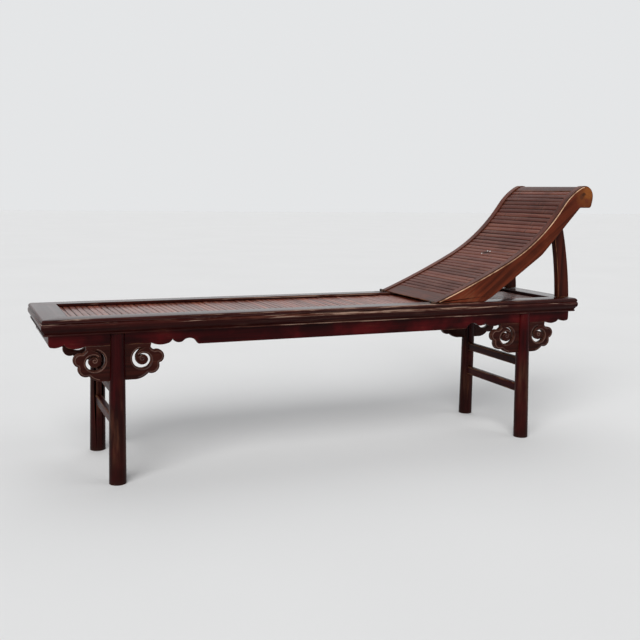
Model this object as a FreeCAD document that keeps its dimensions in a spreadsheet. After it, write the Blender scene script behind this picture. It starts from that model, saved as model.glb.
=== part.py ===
import FreeCAD, Part
import math
import os
from types import SimpleNamespace

import Sketcher
from FreeCAD import Placement, Rotation, Vector

# A long daybed with a folding back. +X runs along the bed to the head end, +Z is up, and the front
# side is at -Y. The origin is on the floor, under the middle of the whole object. The back's scroll
# reaches past the head end, so the bed itself sits half of that reach towards the foot end.

# Lengths in millimetres and angles in degrees, each set by itself.
SIZES = {
    "bed_length": 1785.0,
    "bed_width": 396.0,
    "seat_height": 480.0,
    "rail_height": 46.0,
    "side_rail_width": 58.0,
    "end_rail_width": 78.0,
    "moulding_setback": 9.0,
    "moulding_round": 9.5,
    "slat_width": 16.0,
    "slat_thickness": 8.0,
    "slat_pitch": 18.4,
    "slat_recess": 10.0,
    "slat_housing": 12.0,
    "slat_edge": 1.2,
    "end_play": 0.5,
    "batten_width": 34.0,
    "batten_height": 12.0,
    "batten_housing": 14.0,
    "brace_width": 44.0,
    "brace_height": 26.0,
    "brace_spacing": 430.0,
    "brace_tenon_height": 12.0,
    "brace_tenon_length": 14.0,
    "tenon_shoulder": 4.0,
    "apron_thickness": 18.0,
    "apron_drop": 44.0,
    "apron_side_inset": 23.0,
    "apron_end_inset": 20.0,
    "end_apron_thickness": 16.0,
    "end_apron_drop": 28.0,
    "leg_top_diameter": 44.0,
    "leg_foot_diameter": 49.0,
    "leg_top_inset_x": 205.5,
    "leg_top_inset_y": 32.0,
    "leg_splay_x": 7.0,
    "leg_splay_y": 10.0,
    "leg_tenon_width": 18.0,
    "leg_tenon_depth": 32.0,
    "leg_tenon_height": 16.0,
    "spandrel_joint": 34.0,
    "spandrel_drop": 136.5,
    "spandrel_inner_reach": 131.0,
    "spandrel_outer_reach": 121.0,
    "volute_out": 69.0,
    "volute_up": 8.5,
    "volute_radius": 28.7,
    "volute_slot": 10.0,
    "stretcher_thickness": 20.0,
    "stretcher_height": 29.0,
    "stretcher_edge": 2.5,
    "stretcher_tenon": 16.0,
    "lower_stretcher_level": 170.0,
    "upper_stretcher_level": 262.0,
    "stile_thickness": 26.0,
    "stile_inset": 9.0,
    "stile_tip": 3.5,
    "scroll_overhang": 44.5,
    "scroll_radius": 36.0,
    "scroll_side_radius": 90.0,
    "scroll_side_heading": -104.0,
    "scroll_base_depth": 38.5,
    "scroll_base_round": 10.0,
    "tip_heading": 21.7,
    "low_heading": 27.5,
    "neck_heading": 55.0,
    "scroll_heading": 29.0,
    "low_radius": 2979.0,
    "sweep_radius": 595.0,
    "neck_radius": 215.0,
    "lower_edge_heading": 35.0,
    "upper_edge_heading": 47.0,
    "waist_heading": 33.0,
    "waist_depth": 56.5,
    "neck_depth": 58.0,
    "waist_round": 120.0,
    "nose_round": 8.0,
    "heel_length": 190.0,
    "heel_height": 16.0,
    "back_recess": 3.0,
    "back_slat_pitch": 17.8,
    "back_housing": 8.0,
    "groove_play": 0.2,
    "bottom_board_length": 62.0,
    "bottom_board_thickness": 14.0,
    "bottom_board_lift": 0.4,
    "slat_margin": 1.5,
    "cross_rail_width": 40.0,
    "cross_rail_thickness": 18.0,
    "cross_rail_tenon": 10.0,
    "lower_cross_rail_at": 130.0,
    "middle_cross_rail_at": 272.0,
    "crest_lip": 24.0,
    "crest_lip_depth": 17.0,
    "hinge_leaf_length": 30.0,
    "hinge_leaf_thickness": 1.8,
    "hinge_width": 22.0,
    "hinge_knuckle_radius": 4.0,
    "hinge_pin_radius": 1.7,
    "hinge_pin_play": 0.05,
    "hinge_gap": 0.4,
    "hinge_lift": 0.2,
    "pivot_heading": 51.0,
    "pivot_depth": 34.0,
    "pivot_radius": 5.0,
    "pivot_play": 0.05,
    "pivot_housing": 18.0,
    "post_thickness": 22.0,
    "post_side_gap": 0.5,
    "post_foot_width": 45.0,
    "post_middle_width": 41.6,
    "post_head_radius": 19.0,
    "post_bow": 6.7,
    "post_foot_inset": 36.0,
    "post_foot_gap": 0.3,
    "post_rail_at": 48.0,
    "post_rail_width": 30.0,
    "post_rail_thickness": 16.0,
    "post_rail_tenon": 10.0,
    "nail_head_radius": 2.6,
    "nail_head_height": 1.2,
    "nail_spacing": 14.0,
    "nail_distance": 350.0,
}

doc = FreeCAD.newDocument("daybed")
sheet = doc.addObject("Spreadsheet::Sheet", "sizes")
for row, (alias, number) in enumerate(SIZES.items(), start=1):
    sheet.set(f"A{row}", alias)
    sheet.set(f"B{row}", str(number))
    sheet.setAlias(f"B{row}", alias)
doc.recompute()


class Dim:
    """A size that carries its number and the sheet formula that gives it."""

    def __init__(self, value, text=None):
        self.value = float(value)
        self.text = f"({value:.6f})" if text is None else text

    def __add__(self, other):
        other = dim(other)
        return Dim(self.value + other.value, f"({self.text} + {other.text})")

    def __sub__(self, other):
        other = dim(other)
        return Dim(self.value - other.value, f"({self.text} - {other.text})")

    def __rsub__(self, other):
        return dim(other) - self

    def __mul__(self, other):
        other = dim(other)
        return Dim(self.value * other.value, f"({self.text} * {other.text})")

    def __truediv__(self, other):
        other = dim(other)
        return Dim(self.value / other.value, f"({self.text} / {other.text})")

    def __neg__(self):
        return self * -1

    def __float__(self):
        return self.value

    __radd__ = __add__
    __rmul__ = __mul__


def dim(number):
    return number if isinstance(number, Dim) else Dim(number)


s = SimpleNamespace(**{alias: Dim(number, f"sizes.{alias}") for alias, number in SIZES.items()})

# Levels and faces that several pieces share.
half_length = s.bed_length / 2
half_width = s.bed_width / 2
rail_bottom = s.seat_height - s.rail_height
inner_face = half_width - s.side_rail_width
seat_end = half_length - s.end_rail_width
slat_top = s.seat_height - s.slat_recess
slat_bottom = slat_top - s.slat_thickness
apron_face = half_width - s.apron_side_inset
apron_back = apron_face - s.apron_thickness
apron_end = half_length - s.apron_end_inset
spandrel_top = rail_bottom - s.spandrel_joint
spandrel_bottom = rail_bottom - s.spandrel_drop
leg_top_x = half_length - s.leg_top_inset_x
leg_top_y = half_width - s.leg_top_inset_y
stile_face = half_width - s.stile_inset
stile_back = stile_face - s.stile_thickness
bed_shift = -(s.scroll_overhang / 2)


# Helpers for sketches and features.


def new_body(label, turned=False):
    """A body placed with the bed, or turned half round for the opposite side."""
    body = doc.addObject("PartDesign::Body", label)
    body.Label = label
    body.Placement = Placement(Vector(0, 0, 0), Rotation(Vector(0, 0, 1), 180 if turned else 0))
    body.setExpression("Placement.Base.x", bed_shift.text)
    return body


def origin_plane(body, role):
    return next(item for item in body.Origin.OriginFeatures if item.Role == role)


def new_sketch(body, name, role, offset=0):
    sketch = body.newObject("Sketcher::SketchObject", name)
    sketch.AttachmentSupport = [(origin_plane(body, role), "")]
    sketch.MapMode = "FlatFace"
    sketch.setExpression("AttachmentOffset.Base.z", dim(offset).text)
    return sketch


def polygon(body, name, role, corners, offset=0):
    """A closed sketch of straight lines with every corner bound to the sheet."""
    sketch = new_sketch(body, name, role, offset)
    points = [Vector(float(u), float(v), 0) for u, v in corners]
    for index, point in enumerate(points):
        following = points[(index + 1) % len(points)]
        sketch.addGeometry(Part.LineSegment(point, following), False)
    for index in range(len(points)):
        link = Sketcher.Constraint("Coincident", index, 2, (index + 1) % len(points), 1)
        sketch.addConstraint(link)
    for index, corner in enumerate(corners):
        for kind, size in zip(("DistanceX", "DistanceY"), corner):
            number = sketch.addConstraint(Sketcher.Constraint(kind, -1, 1, index, 1, float(size)))
            sketch.setExpression(f"Constraints[{number}]", dim(size).text)
    return sketch


def circle(body, name, role, u, v, radius, offset=0):
    """A circle with its centre and radius bound to the sheet."""
    sketch = new_sketch(body, name, role, offset)
    shape = Part.Circle(Vector(float(u), float(v), 0), Vector(0, 0, 1), float(radius))
    sketch.addGeometry(shape, False)
    for kind, size in (("DistanceX", u), ("DistanceY", v)):
        number = sketch.addConstraint(Sketcher.Constraint(kind, -1, 1, 0, 3, float(size)))
        sketch.setExpression(f"Constraints[{number}]", dim(size).text)
    number = sketch.addConstraint(Sketcher.Constraint("Radius", 0, float(radius)))
    sketch.setExpression(f"Constraints[{number}]", dim(radius).text)
    return sketch


class Outline:
    """A closed run of lines and arcs in a sketch's plane.

    With a cut angle the arcs are short straight cuts, as a carver's chisel leaves them.
    """

    def __init__(self, start, cut_angle=None):
        self.start = Vector(float(start[0]), float(start[1]), 0)
        self.point = self.start
        self.edges = []
        self.cut_angle = cut_angle

    def line(self, end):
        end = Vector(float(end[0]), float(end[1]), 0)
        if (end - self.point).Length > 1e-6:
            self.edges.append(Part.LineSegment(self.point, end))
        self.point = end
        return self

    def arc(self, middle, end):
        middle = Vector(float(middle[0]), float(middle[1]), 0)
        end = Vector(float(end[0]), float(end[1]), 0)
        curve = Part.Arc(self.point, middle, end)
        if self.cut_angle is None:
            self.edges.append(curve)
            self.point = end
            return self
        sweep = math.degrees(curve.LastParameter - curve.FirstParameter)
        points = curve.discretize(Number=max(2, math.ceil(sweep / self.cut_angle)) + 1)
        if (points[0] - self.point).Length > (points[-1] - self.point).Length:
            points.reverse()
        for point in points[1:-1]:
            self.line((point.x, point.y))
        return self.line((end.x, end.y))

    def close(self):
        return self.line((self.start.x, self.start.y))


def step(point, heading, distance):
    """The point at a distance along a heading, measured up from +X."""
    angle = math.radians(heading)
    return point[0] + distance * math.cos(angle), point[1] + distance * math.sin(angle)


def flats_round(middle, radius, count):
    """The corners of an even ring of flats round a middle."""
    corners = []
    for index in range(count):
        angle = 2 * math.pi * (index + 0.5) / count
        corners.append((middle[0] + radius * math.cos(angle), middle[1] + radius * math.sin(angle)))
    return corners


def draw(body, name, role, outlines, offset=0):
    """A sketch of closed outlines; inner outlines are holes."""
    sketch = new_sketch(body, name, role, offset)
    for outline in outlines:
        sketch.addGeometry(outline.close().edges, False)
    return sketch


def pad(body, name, sketch, length, midplane=False):
    feature = body.newObject("PartDesign::Pad", name)
    feature.Profile = sketch
    feature.Midplane = midplane
    feature.setExpression("Length", dim(length).text)
    return feature


def pocket(body, name, sketch, length):
    """A cut against the sketch's normal."""
    feature = body.newObject("PartDesign::Pocket", name)
    feature.Profile = sketch
    feature.setExpression("Length", dim(length).text)
    return feature


def box(body, name, low, high, cut=False):
    """A block between two opposite corners, added or cut."""
    kind = "PartDesign::SubtractiveBox" if cut else "PartDesign::AdditiveBox"
    feature = body.newObject(kind, name)
    feature.AttachmentSupport = [(origin_plane(body, "XY_Plane"), "")]
    feature.MapMode = "FlatFace"
    for axis, side, start, end in zip("xyz", ("Length", "Width", "Height"), low, high):
        feature.setExpression(f"AttachmentOffset.Base.{axis}", dim(start).text)
        feature.setExpression(side, (dim(end) - start).text)
    return feature


def plate(body, name, outlines, y_low, thickness):
    """Pad outlines drawn in X and Z from y_low towards +Y."""
    sketch = draw(body, f"{name}_outline", "XZ_Plane", outlines, -(dim(y_low) + thickness))
    return pad(body, name, sketch, thickness)


def cut_plate(body, name, outlines, y_low, thickness):
    """Cut outlines drawn in X and Z from y_low towards +Y."""
    sketch = draw(body, f"{name}_outline", "XZ_Plane", outlines, -dim(y_low))
    return pocket(body, name, sketch, thickness)


def edge_sides(side, near, thickness):
    """The low Y of a plate of that thickness whose face nearer the middle is at near."""
    return dim(near) if side > 0 else -(dim(near) + thickness)


def chamfer_edges(feature, size, chosen):
    """Chamfer the edges of a feature that the test chooses."""
    doc.recompute()
    body = feature.getParentGeoFeatureGroup()
    edges = [f"Edge{i}" for i, edge in enumerate(feature.Shape.Edges, start=1) if chosen(edge)]
    result = body.newObject("PartDesign::Chamfer", f"{feature.Name}_edges")
    result.Base = (feature, edges)
    result.setExpression("Size", dim(size).text)


def runs_along(edge, axis):
    direction = edge.lastVertex().Point - edge.firstVertex().Point
    return abs(abs(direction.normalize().dot(axis)) - 1) < 1e-6


# The seat frame.


def moulding(width, grooved):
    """The rail's section: inward from the outer face, and up from its underside."""
    top = float(s.rail_height)
    setback = float(s.moulding_setback)
    round_radius = float(s.moulding_round)
    bead = 0.11 * top
    belly = 0.38 * top
    quirk = 0.72 * top
    corner = top - round_radius
    diagonal = round_radius * math.sqrt(0.5)
    shape = Outline((setback, 0))
    shape.arc((setback - bead / 2, bead / 2), (setback, bead))
    shape.arc((0.68 * setback, (bead + belly) / 2), (0.13 * setback, belly))
    shape.arc((0, (belly + quirk) / 2 - 1), (0.13 * setback, quirk - 2))
    shape.line((0.4 * setback, quirk))
    shape.line((0.2 * setback, quirk + 1.5))
    centre = 0.2 * setback + round_radius
    shape.arc((centre - diagonal, corner + diagonal), (centre, top))
    shape.line((width, top))
    if grooved:
        for depth, level in (
            (0, s.slat_recess),
            (s.slat_housing, s.slat_recess),
            (s.slat_housing, s.slat_recess + s.slat_thickness),
            (0, s.slat_recess + s.slat_thickness),
        ):
            shape.line((float(width) - float(depth), top - float(level)))
    shape.line((width, 0))
    return shape


def placed_section(shape, place):
    """The same outline with each point moved by place."""
    moved = Outline(place(shape.start.x, shape.start.y))
    for edge in shape.close().edges:
        end = place(edge.EndPoint.x, edge.EndPoint.y)
        if isinstance(edge, Part.LineSegment):
            moved.line(end)
        else:
            middle = edge.value((edge.FirstParameter + edge.LastParameter) / 2)
            moved.arc(place(middle.x, middle.y), end)
    return moved


def leg_point(height, sign_x=1, sign_y=1):
    """The middle of a leg at a height above the floor."""
    share = 1 - dim(height) / rail_bottom
    return (leg_top_x + s.leg_splay_x * share) * sign_x, (leg_top_y + s.leg_splay_y * share) * sign_y


def tenon_tongues(sign_x):
    """The two tongues on a front leg, either side of the slot for apron and spandrel."""
    x_low = leg_top_x * sign_x - s.leg_tenon_width / 2
    x_high = x_low + s.leg_tenon_width
    outer = (-leg_top_y - s.leg_tenon_depth / 2, -apron_face)
    inner = (-apron_back, -leg_top_y + s.leg_tenon_depth / 2)
    for name, (y_low, y_high) in (("outer", outer), ("inner", inner)):
        yield name, (x_low, y_low, rail_bottom), (x_high, y_high, rail_bottom + s.leg_tenon_height)


def brace_places():
    return {"foot": -s.brace_spacing, "middle": dim(0), "head": s.brace_spacing}


def side_rail(label, turned):
    """A moulded long rail with mitred ends, the slats' groove and its mortises."""
    body = new_body(label, turned)
    section = placed_section(
        moulding(s.side_rail_width, True),
        lambda inward, up: (-float(half_width) + inward, float(rail_bottom) + up),
    )
    sketch = draw(body, f"{label}_section", "YZ_Plane", [section])
    pad(body, f"{label}_length", sketch, s.bed_length, midplane=True)
    for end, sign in (("foot", -1), ("head", 1)):
        corners = [
            (half_length * sign, -half_width),
            (half_length * sign, -inner_face),
            ((half_length - s.side_rail_width) * sign, -inner_face),
        ]
        mitre = polygon(body, f"{label}_{end}_mitre_line", "XY_Plane", corners, s.seat_height)
        pocket(body, f"{label}_{end}_mitre", mitre, s.rail_height)
        for name, low, high in tenon_tongues(sign):
            box(body, f"{label}_{end}_{name}_mortise", low, high, cut=True)
    for name, x in brace_places().items():
        x = -x if turned else x
        low, high = brace_tenon(x)
        mortise_low = (low[0], -(inner_face + s.brace_tenon_length), low[2])
        box(body, f"{label}_{name}_brace_mortise", mortise_low, (high[0], -inner_face, high[2]), cut=True)
    hinge_mortise(body, label, turned)
    return body


def hinge_mortise(body, label, turned):
    """The shallow seat of the hinge leaf in the rail's top."""
    sign = -1 if turned else 1
    ends = sorted((hinge_x * sign, (hinge_x - s.hinge_leaf_length) * sign), key=float)
    y_low = -(stile_middle + s.hinge_width / 2)
    low = (ends[0], y_low, s.seat_height - s.hinge_leaf_thickness)
    high = (ends[1], y_low + s.hinge_width, s.seat_height)
    box(body, f"{label}_hinge_seat", low, high, cut=True)


def end_rail(label, turned):
    """A wider moulded end rail, mitred to the long rails and housed for the batten."""
    body = new_body(label, turned)
    section = placed_section(
        moulding(s.end_rail_width, False),
        lambda inward, up: (-float(half_length) + inward, float(rail_bottom) + up),
    )
    sketch = draw(body, f"{label}_section", "XZ_Plane", [section])
    pad(body, f"{label}_length", sketch, s.bed_width, midplane=True)
    for side, sign in (("front", -1), ("rear", 1)):
        corners = [
            (-half_length, half_width * sign),
            (-half_length + s.side_rail_width, inner_face * sign),
            (-seat_end, inner_face * sign),
            (-seat_end, half_width * sign),
        ]
        mitre = polygon(body, f"{label}_{side}_mitre_line", "XY_Plane", corners, s.seat_height)
        pocket(body, f"{label}_{side}_mitre", mitre, s.rail_height)
    low = (-seat_end - s.batten_housing, -s.batten_width / 2, slat_bottom - s.batten_height)
    box(body, f"{label}_batten_housing", low, (-seat_end, s.batten_width / 2, slat_bottom), cut=True)
    return body


def brace_tenon(x):
    """The block that a brace's two tenons share, from rail to rail."""
    middle = slat_bottom - s.brace_height / 2
    half = inner_face + s.brace_tenon_length
    across = s.brace_width / 2 - s.tenon_shoulder
    low = (x - across, -half, middle - s.brace_tenon_height / 2)
    high = (x + across, half, middle + s.brace_tenon_height / 2)
    return low, high


def seat_brace(name, x):
    """A cross brace tenoned into the long rails and notched for the batten."""
    label = f"{name}_seat_brace"
    body = new_body(label)
    low = (x - s.brace_width / 2, -inner_face, slat_bottom - s.brace_height)
    box(body, f"{label}_bar", low, (x + s.brace_width / 2, inner_face, slat_bottom))
    box(body, f"{label}_tenons", *brace_tenon(x))
    notch_low = (x - s.brace_width / 2, -s.batten_width / 2, slat_bottom - s.batten_height)
    notch_high = (x + s.brace_width / 2, s.batten_width / 2, slat_bottom)
    box(body, f"{label}_notch", notch_low, notch_high, cut=True)


def seat_batten():
    """The long strip under the middle of the slats, let into both end rails."""
    body = new_body("seat_batten")
    reach = seat_end + s.batten_housing
    low = (-reach, -s.batten_width / 2, slat_bottom - s.batten_height)
    box(body, "seat_batten_strip", low, (reach, s.batten_width / 2, slat_bottom))


def slat_section(centre, heading):
    """A slat's section, flat below and eased along both upper edges."""
    angle = math.radians(heading)
    half = float(s.slat_width) / 2
    deep = float(s.slat_thickness)
    ease = float(s.slat_edge)
    along = (math.cos(angle), math.sin(angle))
    up = (-math.sin(angle), math.cos(angle))

    def place(u, v):
        return centre[0] + u * along[0] + v * up[0], centre[1] + u * along[1] + v * up[1]

    shape = Outline(place(-half, -deep))
    shape.line(place(half, -deep)).line(place(half, -ease)).line(place(half - ease, 0))
    return shape.line(place(ease - half, 0)).line(place(-half, -ease))


def slat_group(label, places, half_span):
    """Separate slats laid across the width, as one group."""
    slats = []
    for centre, heading in places:
        section = slat_section(centre, heading)
        wire = Part.Wire([edge.toShape() for edge in section.close().edges])
        wire.rotate(Vector(0, 0, 0), Vector(1, 0, 0), 90)
        wire.translate(Vector(0, float(half_span), 0))
        slats.append(Part.Face(wire).extrude(Vector(0, -2 * float(half_span), 0)))
    group_of(label, slats)


def group_of(label, solids):
    """One node of separate solids, placed with the bed."""
    group = doc.addObject("Part::Feature", label)
    group.Label = label
    group.Shape = Part.makeCompound(solids)
    group.setExpression("Placement.Base.x", bed_shift.text)


def seat_slats():
    count = round(2 * float(seat_end) / float(s.slat_pitch))
    pitch = 2 * float(seat_end) / count
    places = [((-float(seat_end) + (i + 0.5) * pitch, float(slat_top)), 0) for i in range(count)]
    slat_group("seat_slats", places, inner_face + s.slat_housing - s.end_play)


# The skirt: aprons and pierced spandrels.

CUT_ANGLE = 12

# The spiral slot of a volute: its angle, and its outer edge and width as shares of the largest.
VOLUTE = (
    (88, 0.99, 0.0),
    (130, 1.0, 0.65),
    (180, 1.0, 0.95),
    (250, 1.0, 1.0),
    (300, 0.98, 0.95),
    (340, 0.89, 0.8),
    (380, 0.7, 0.6),
    (420, 0.54, 0.5),
    (460, 0.47, 0.4),
    (490, 0.44, 0.25),
    (512, 0.42, 0.0),
)


def apron_lobe(reach):
    """The lobe next to a leg: points out from the leg and down from the rail's underside."""
    joint = float(s.spandrel_joint)
    scale = float(reach) / float(s.spandrel_inner_reach)
    points = ((95, 0), (118, 6.5), (141, 4), (150.5, -0.5), (156, -7.5))
    return [(along * scale, joint + below) for along, below in points]


def side_apron(label, side):
    """A long apron: plain in the middle, lobed beside the legs and at both ends."""
    body = new_body(label)
    level = float(rail_bottom)
    joint = float(s.spandrel_joint)
    leg_x = float(leg_top_x)
    end = float(apron_end)
    shape = Outline((-end, level))

    def place(sign, along, below):
        return sign * (leg_x + along), level - below

    start, belly, heel, shoulder, cusp = apron_lobe(s.spandrel_outer_reach)
    inner = [(-along, below) for along, below in apron_lobe(s.spandrel_inner_reach)]
    rounding = 8
    corner = end - leg_x
    run = [
        ("line", (corner, joint - rounding)),
        ("arc", (corner - 0.3 * rounding, joint - 0.3 * rounding), (corner - rounding, joint)),
        ("arc", ((cusp[0] + corner) / 2, joint + 1), cusp),
        ("arc", shoulder, heel),
        ("arc", belly, start),
        ("line", inner[0]),
        ("arc", inner[1], inner[2]),
        ("arc", inner[3], inner[4]),
        ("line", (-163, joint - 0.5)),
        ("arc", (-174, joint + 2.7), (-186, joint)),
        ("arc", (-210, joint - 8), (-226, joint + 2)),
        ("line", (-232, float(s.apron_drop))),
    ]
    apply_run(shape, run, lambda point: place(-1, *point))
    mirrored = mirror_run(run)
    apply_run(shape, mirrored, lambda point: place(1, *point))
    shape.line((end, level))
    y_low = edge_sides(side, apron_back, s.apron_thickness)
    plate(body, f"{label}_board", [shape], y_low, s.apron_thickness)


def apply_run(shape, run, place):
    for kind, *points in run:
        if kind == "line":
            shape.line(place(points[0]))
        else:
            shape.arc(place(points[0]), place(points[1]))


def mirror_run(run):
    """The same run walked backwards."""
    ends = [points[-1] for _, *points in run]
    steps = [("line", ends[-1])]
    for index in range(len(run) - 1, 0, -1):
        kind, *points = run[index]
        target = ends[index - 1]
        steps.append((kind, target) if kind == "line" else (kind, points[0], target))
    return steps


def end_apron(label, sign):
    """The plain apron between the long aprons at one end."""
    body = new_body(label)
    outer = apron_end * sign
    inner = (apron_end - s.end_apron_thickness) * sign
    x_low, x_high = sorted((outer, inner), key=float)
    low = (x_low, -apron_back, rail_bottom - s.end_apron_drop)
    box(body, f"{label}_board", low, (x_high, apron_back, rail_bottom))


def volute_slot(centre, direction):
    """The spiral slot that leaves a curled band and its eye, mirrored for the other direction."""
    outer = []
    inner = []
    for (angle, edge, slot), (end_angle, end_edge, end_slot) in zip(VOLUTE, VOLUTE[1:]):
        cuts = math.ceil((end_angle - angle) / CUT_ANGLE)
        for cut in range(cuts):
            share = cut / cuts
            radius = float(s.volute_radius) * (edge + (end_edge - edge) * share)
            width = float(s.volute_slot) * (slot + (end_slot - slot) * share)
            heading = angle + (end_angle - angle) * share
            outer.append(step((0, 0), heading, radius))
            inner.append(step((0, 0), heading, radius - width))
    outer.append(step((0, 0), VOLUTE[-1][0], float(s.volute_radius) * VOLUTE[-1][1]))
    corners = outer + inner[:0:-1]
    corners = [(centre[0] + along * direction, centre[1] + up) for along, up in corners]
    shape = Outline(corners[0])
    for corner in corners[1:]:
        shape.line(corner)
    return shape


def spandrel(label, side, end_sign):
    """A cloud-scroll board through the leg's slot, with a pierced volute each side."""
    body = new_body(label)
    top = float(spandrel_top)
    bottom = float(spandrel_bottom)
    leg_x = float(leg_top_x) * end_sign
    volute = (float(s.volute_out), (top + bottom) / 2 + float(s.volute_up))
    run = [
        ("line", (95, top)),
        ("line", (93, top - 11)),
        ("arc", (98, top - 17), (104, top - 20.5)),
        ("arc", (129.5, top - 31), (124, top - 55.5)),
        ("line", (117, top - 58.5)),
        ("arc", (110.5, top - 82), (86, bottom + 16.5)),
        ("arc", (71, bottom + 5.5), (52, bottom)),
    ]
    shape = None
    holes = []
    for direction in (1, -1):
        reach = s.spandrel_inner_reach if direction != end_sign else s.spandrel_outer_reach
        scale = float(reach / s.spandrel_inner_reach) * direction

        def place(point, scale=scale):
            return leg_x + point[0] * scale, point[1]

        if shape is None:
            shape = Outline(place((0, top)), CUT_ANGLE)
            apply_run(shape, run, place)
        else:
            apply_run(shape, mirror_run(run) + [("line", (0, top))], place)
        middle = place(volute)
        holes.append(volute_slot(middle, direction))
    y_low = edge_sides(side, apron_back, s.apron_thickness)
    plate(body, f"{label}_board", [shape] + holes, y_low, s.apron_thickness)


# Legs and stretchers.

LEG_FLATS = 32


def splayed_shaft(body, name, sign_x, sign_y):
    """A round, tapering shaft planed in narrow flats, leaning out to the foot."""
    rings = []
    for end, level, diameter in (
        ("foot", dim(0), s.leg_foot_diameter),
        ("top", rail_bottom, s.leg_top_diameter),
    ):
        corners = flats_round(leg_point(level, sign_x, sign_y), diameter / 2, LEG_FLATS)
        rings.append(polygon(body, f"{name}_{end}", "XY_Plane", corners, level))
    shaft = body.newObject("PartDesign::AdditiveLoft", name)
    shaft.Profile = rings[0]
    shaft.Sections = rings[1:]
    shaft.Ruled = True


def leg(label, sign_x, sign_y):
    """A round splayed leg, slotted for apron and spandrel, with a double tenon on top."""
    body = new_body(label)
    splayed_shaft(body, f"{label}_shaft", sign_x, sign_y)
    top_x, _ = leg_point(rail_bottom, sign_x, sign_y)
    for name, low, high in tenon_tongues(sign_x):
        if sign_y > 0:
            low, high = (low[0], -high[1], low[2]), (high[0], -low[1], high[2])
        box(body, f"{label}_{name}_tongue", low, high)
    slot_y = edge_sides(sign_y, apron_back, s.apron_thickness)
    slot_low = (top_x - s.leg_foot_diameter, slot_y, spandrel_bottom)
    slot_high = (top_x + s.leg_foot_diameter, slot_y + s.apron_thickness, rail_bottom)
    box(body, f"{label}_slot", slot_low, slot_high, cut=True)
    for name, level in stretcher_levels().items():
        low, high = stretcher_block(level, sign_x)
        if sign_y > 0:
            low, high = (low[0], dim(0), low[2]), high
        else:
            high = (high[0], dim(0), high[2])
        box(body, f"{label}_{name}_mortise", low, high, cut=True)


def stretcher_levels():
    return {"lower": s.lower_stretcher_level, "upper": s.upper_stretcher_level}


def stretcher_block(level, sign_x):
    """A stretcher's block from tenon end to tenon end."""
    x, y = leg_point(level, sign_x)
    share = level / rail_bottom
    radius = (s.leg_foot_diameter + (s.leg_top_diameter - s.leg_foot_diameter) * share) / 2
    reach = y - radius + s.stretcher_tenon
    low = (x - s.stretcher_thickness / 2, -reach, level - s.stretcher_height / 2)
    high = (x + s.stretcher_thickness / 2, reach, level + s.stretcher_height / 2)
    return low, high


def stretcher(label, level, sign_x):
    """A bar between the front and rear legs of one end."""
    body = new_body(label)
    bar = box(body, f"{label}_bar", *stretcher_block(level, sign_x))
    chamfer_edges(bar, s.stretcher_edge, lambda edge: runs_along(edge, Vector(0, 1, 0)))


# The backrest's side shape. Headings are measured up from +X.


def inset_point(point, heading, depth):
    """A point under the contour, square to its heading."""
    return step(point, heading - 90, depth)


def arc_chain(point, heading, turns):
    """Arcs as (start, middle, end, end heading). A left turn has a positive radius."""
    arcs = []
    for radius, end_heading in turns:
        centre = step(point, heading + 90, radius)
        middle = step(centre, (heading + end_heading) / 2 - 90, radius)
        end = step(centre, end_heading - 90, radius)
        arcs.append((point, middle, end, end_heading))
        point, heading = end, end_heading
    return arcs


def contour_turns():
    return [
        (float(s.low_radius), float(s.low_heading)),
        (float(s.sweep_radius), float(s.neck_heading)),
        (-float(s.neck_radius), float(s.scroll_heading)),
    ]


def find_tip():
    """The front tip, set so that the scroll reaches its overhang past the head end."""
    start_heading = float(s.tip_heading)
    end = arc_chain((0, 0), start_heading, contour_turns())[-1][2]
    centre = inset_point(end, float(s.scroll_heading), float(s.scroll_radius))
    reach = centre[0] + float(s.scroll_radius)
    return float(half_length) + float(s.scroll_overhang) - reach, float(s.seat_height + s.stile_tip)


TIP = find_tip()
TIP_X = Dim(TIP[0])


def contour(depth=0.0):
    """The top edge of the back as arcs, at a depth under the stile's edge."""
    start = inset_point(TIP, float(s.tip_heading), depth)
    turns = [(radius + depth, heading) for radius, heading in contour_turns()]
    return arc_chain(start, float(s.tip_heading), turns)


def scroll_middle():
    return inset_point(contour()[-1][2], float(s.scroll_heading), float(s.scroll_radius))


def scroll_side():
    """The scroll's top and back as arcs, down to its squarer base."""
    turns = [
        (-float(s.scroll_radius), -90),
        (-float(s.scroll_side_radius), float(s.scroll_side_heading)),
    ]
    return arc_chain(contour()[-1][2], float(s.scroll_heading), turns)


def contour_at(distance, depth=0.0):
    """The point and heading at a distance along the edge, then down by the depth."""
    heading = float(s.tip_heading)
    point = TIP
    for radius, end_heading in contour_turns():
        length = abs(radius * math.radians(end_heading - heading))
        if distance <= length:
            break
        point = step(step(point, heading + 90, radius), end_heading - 90, radius)
        distance -= length
        heading = end_heading
    turned = heading + math.degrees(distance / radius)
    point = step(step(point, heading + 90, radius), turned - 90, radius)
    return inset_point(point, turned, depth), turned


def contour_where(heading, depth):
    """The point under the sweeping arc where the edge has this heading."""
    start = arc_chain(TIP, float(s.tip_heading), contour_turns()[:1])[-1][2]
    end = arc_chain(start, float(s.low_heading), [(float(s.sweep_radius), float(heading))])[-1][2]
    return inset_point(end, float(heading), float(depth))


def contour_length():
    heading = float(s.tip_heading)
    total = 0.0
    for radius, end_heading in contour_turns():
        total += abs(radius * math.radians(end_heading - heading))
        heading = end_heading
    return total


def crossing(point, heading, other, other_heading):
    """Where two lines meet."""
    ax, ay = math.cos(math.radians(heading)), math.sin(math.radians(heading))
    bx, by = math.cos(math.radians(other_heading)), math.sin(math.radians(other_heading))
    along = ((other[0] - point[0]) * by - (other[1] - point[1]) * bx) / (ax * by - ay * bx)
    return point[0] + along * ax, point[1] + along * ay


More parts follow.
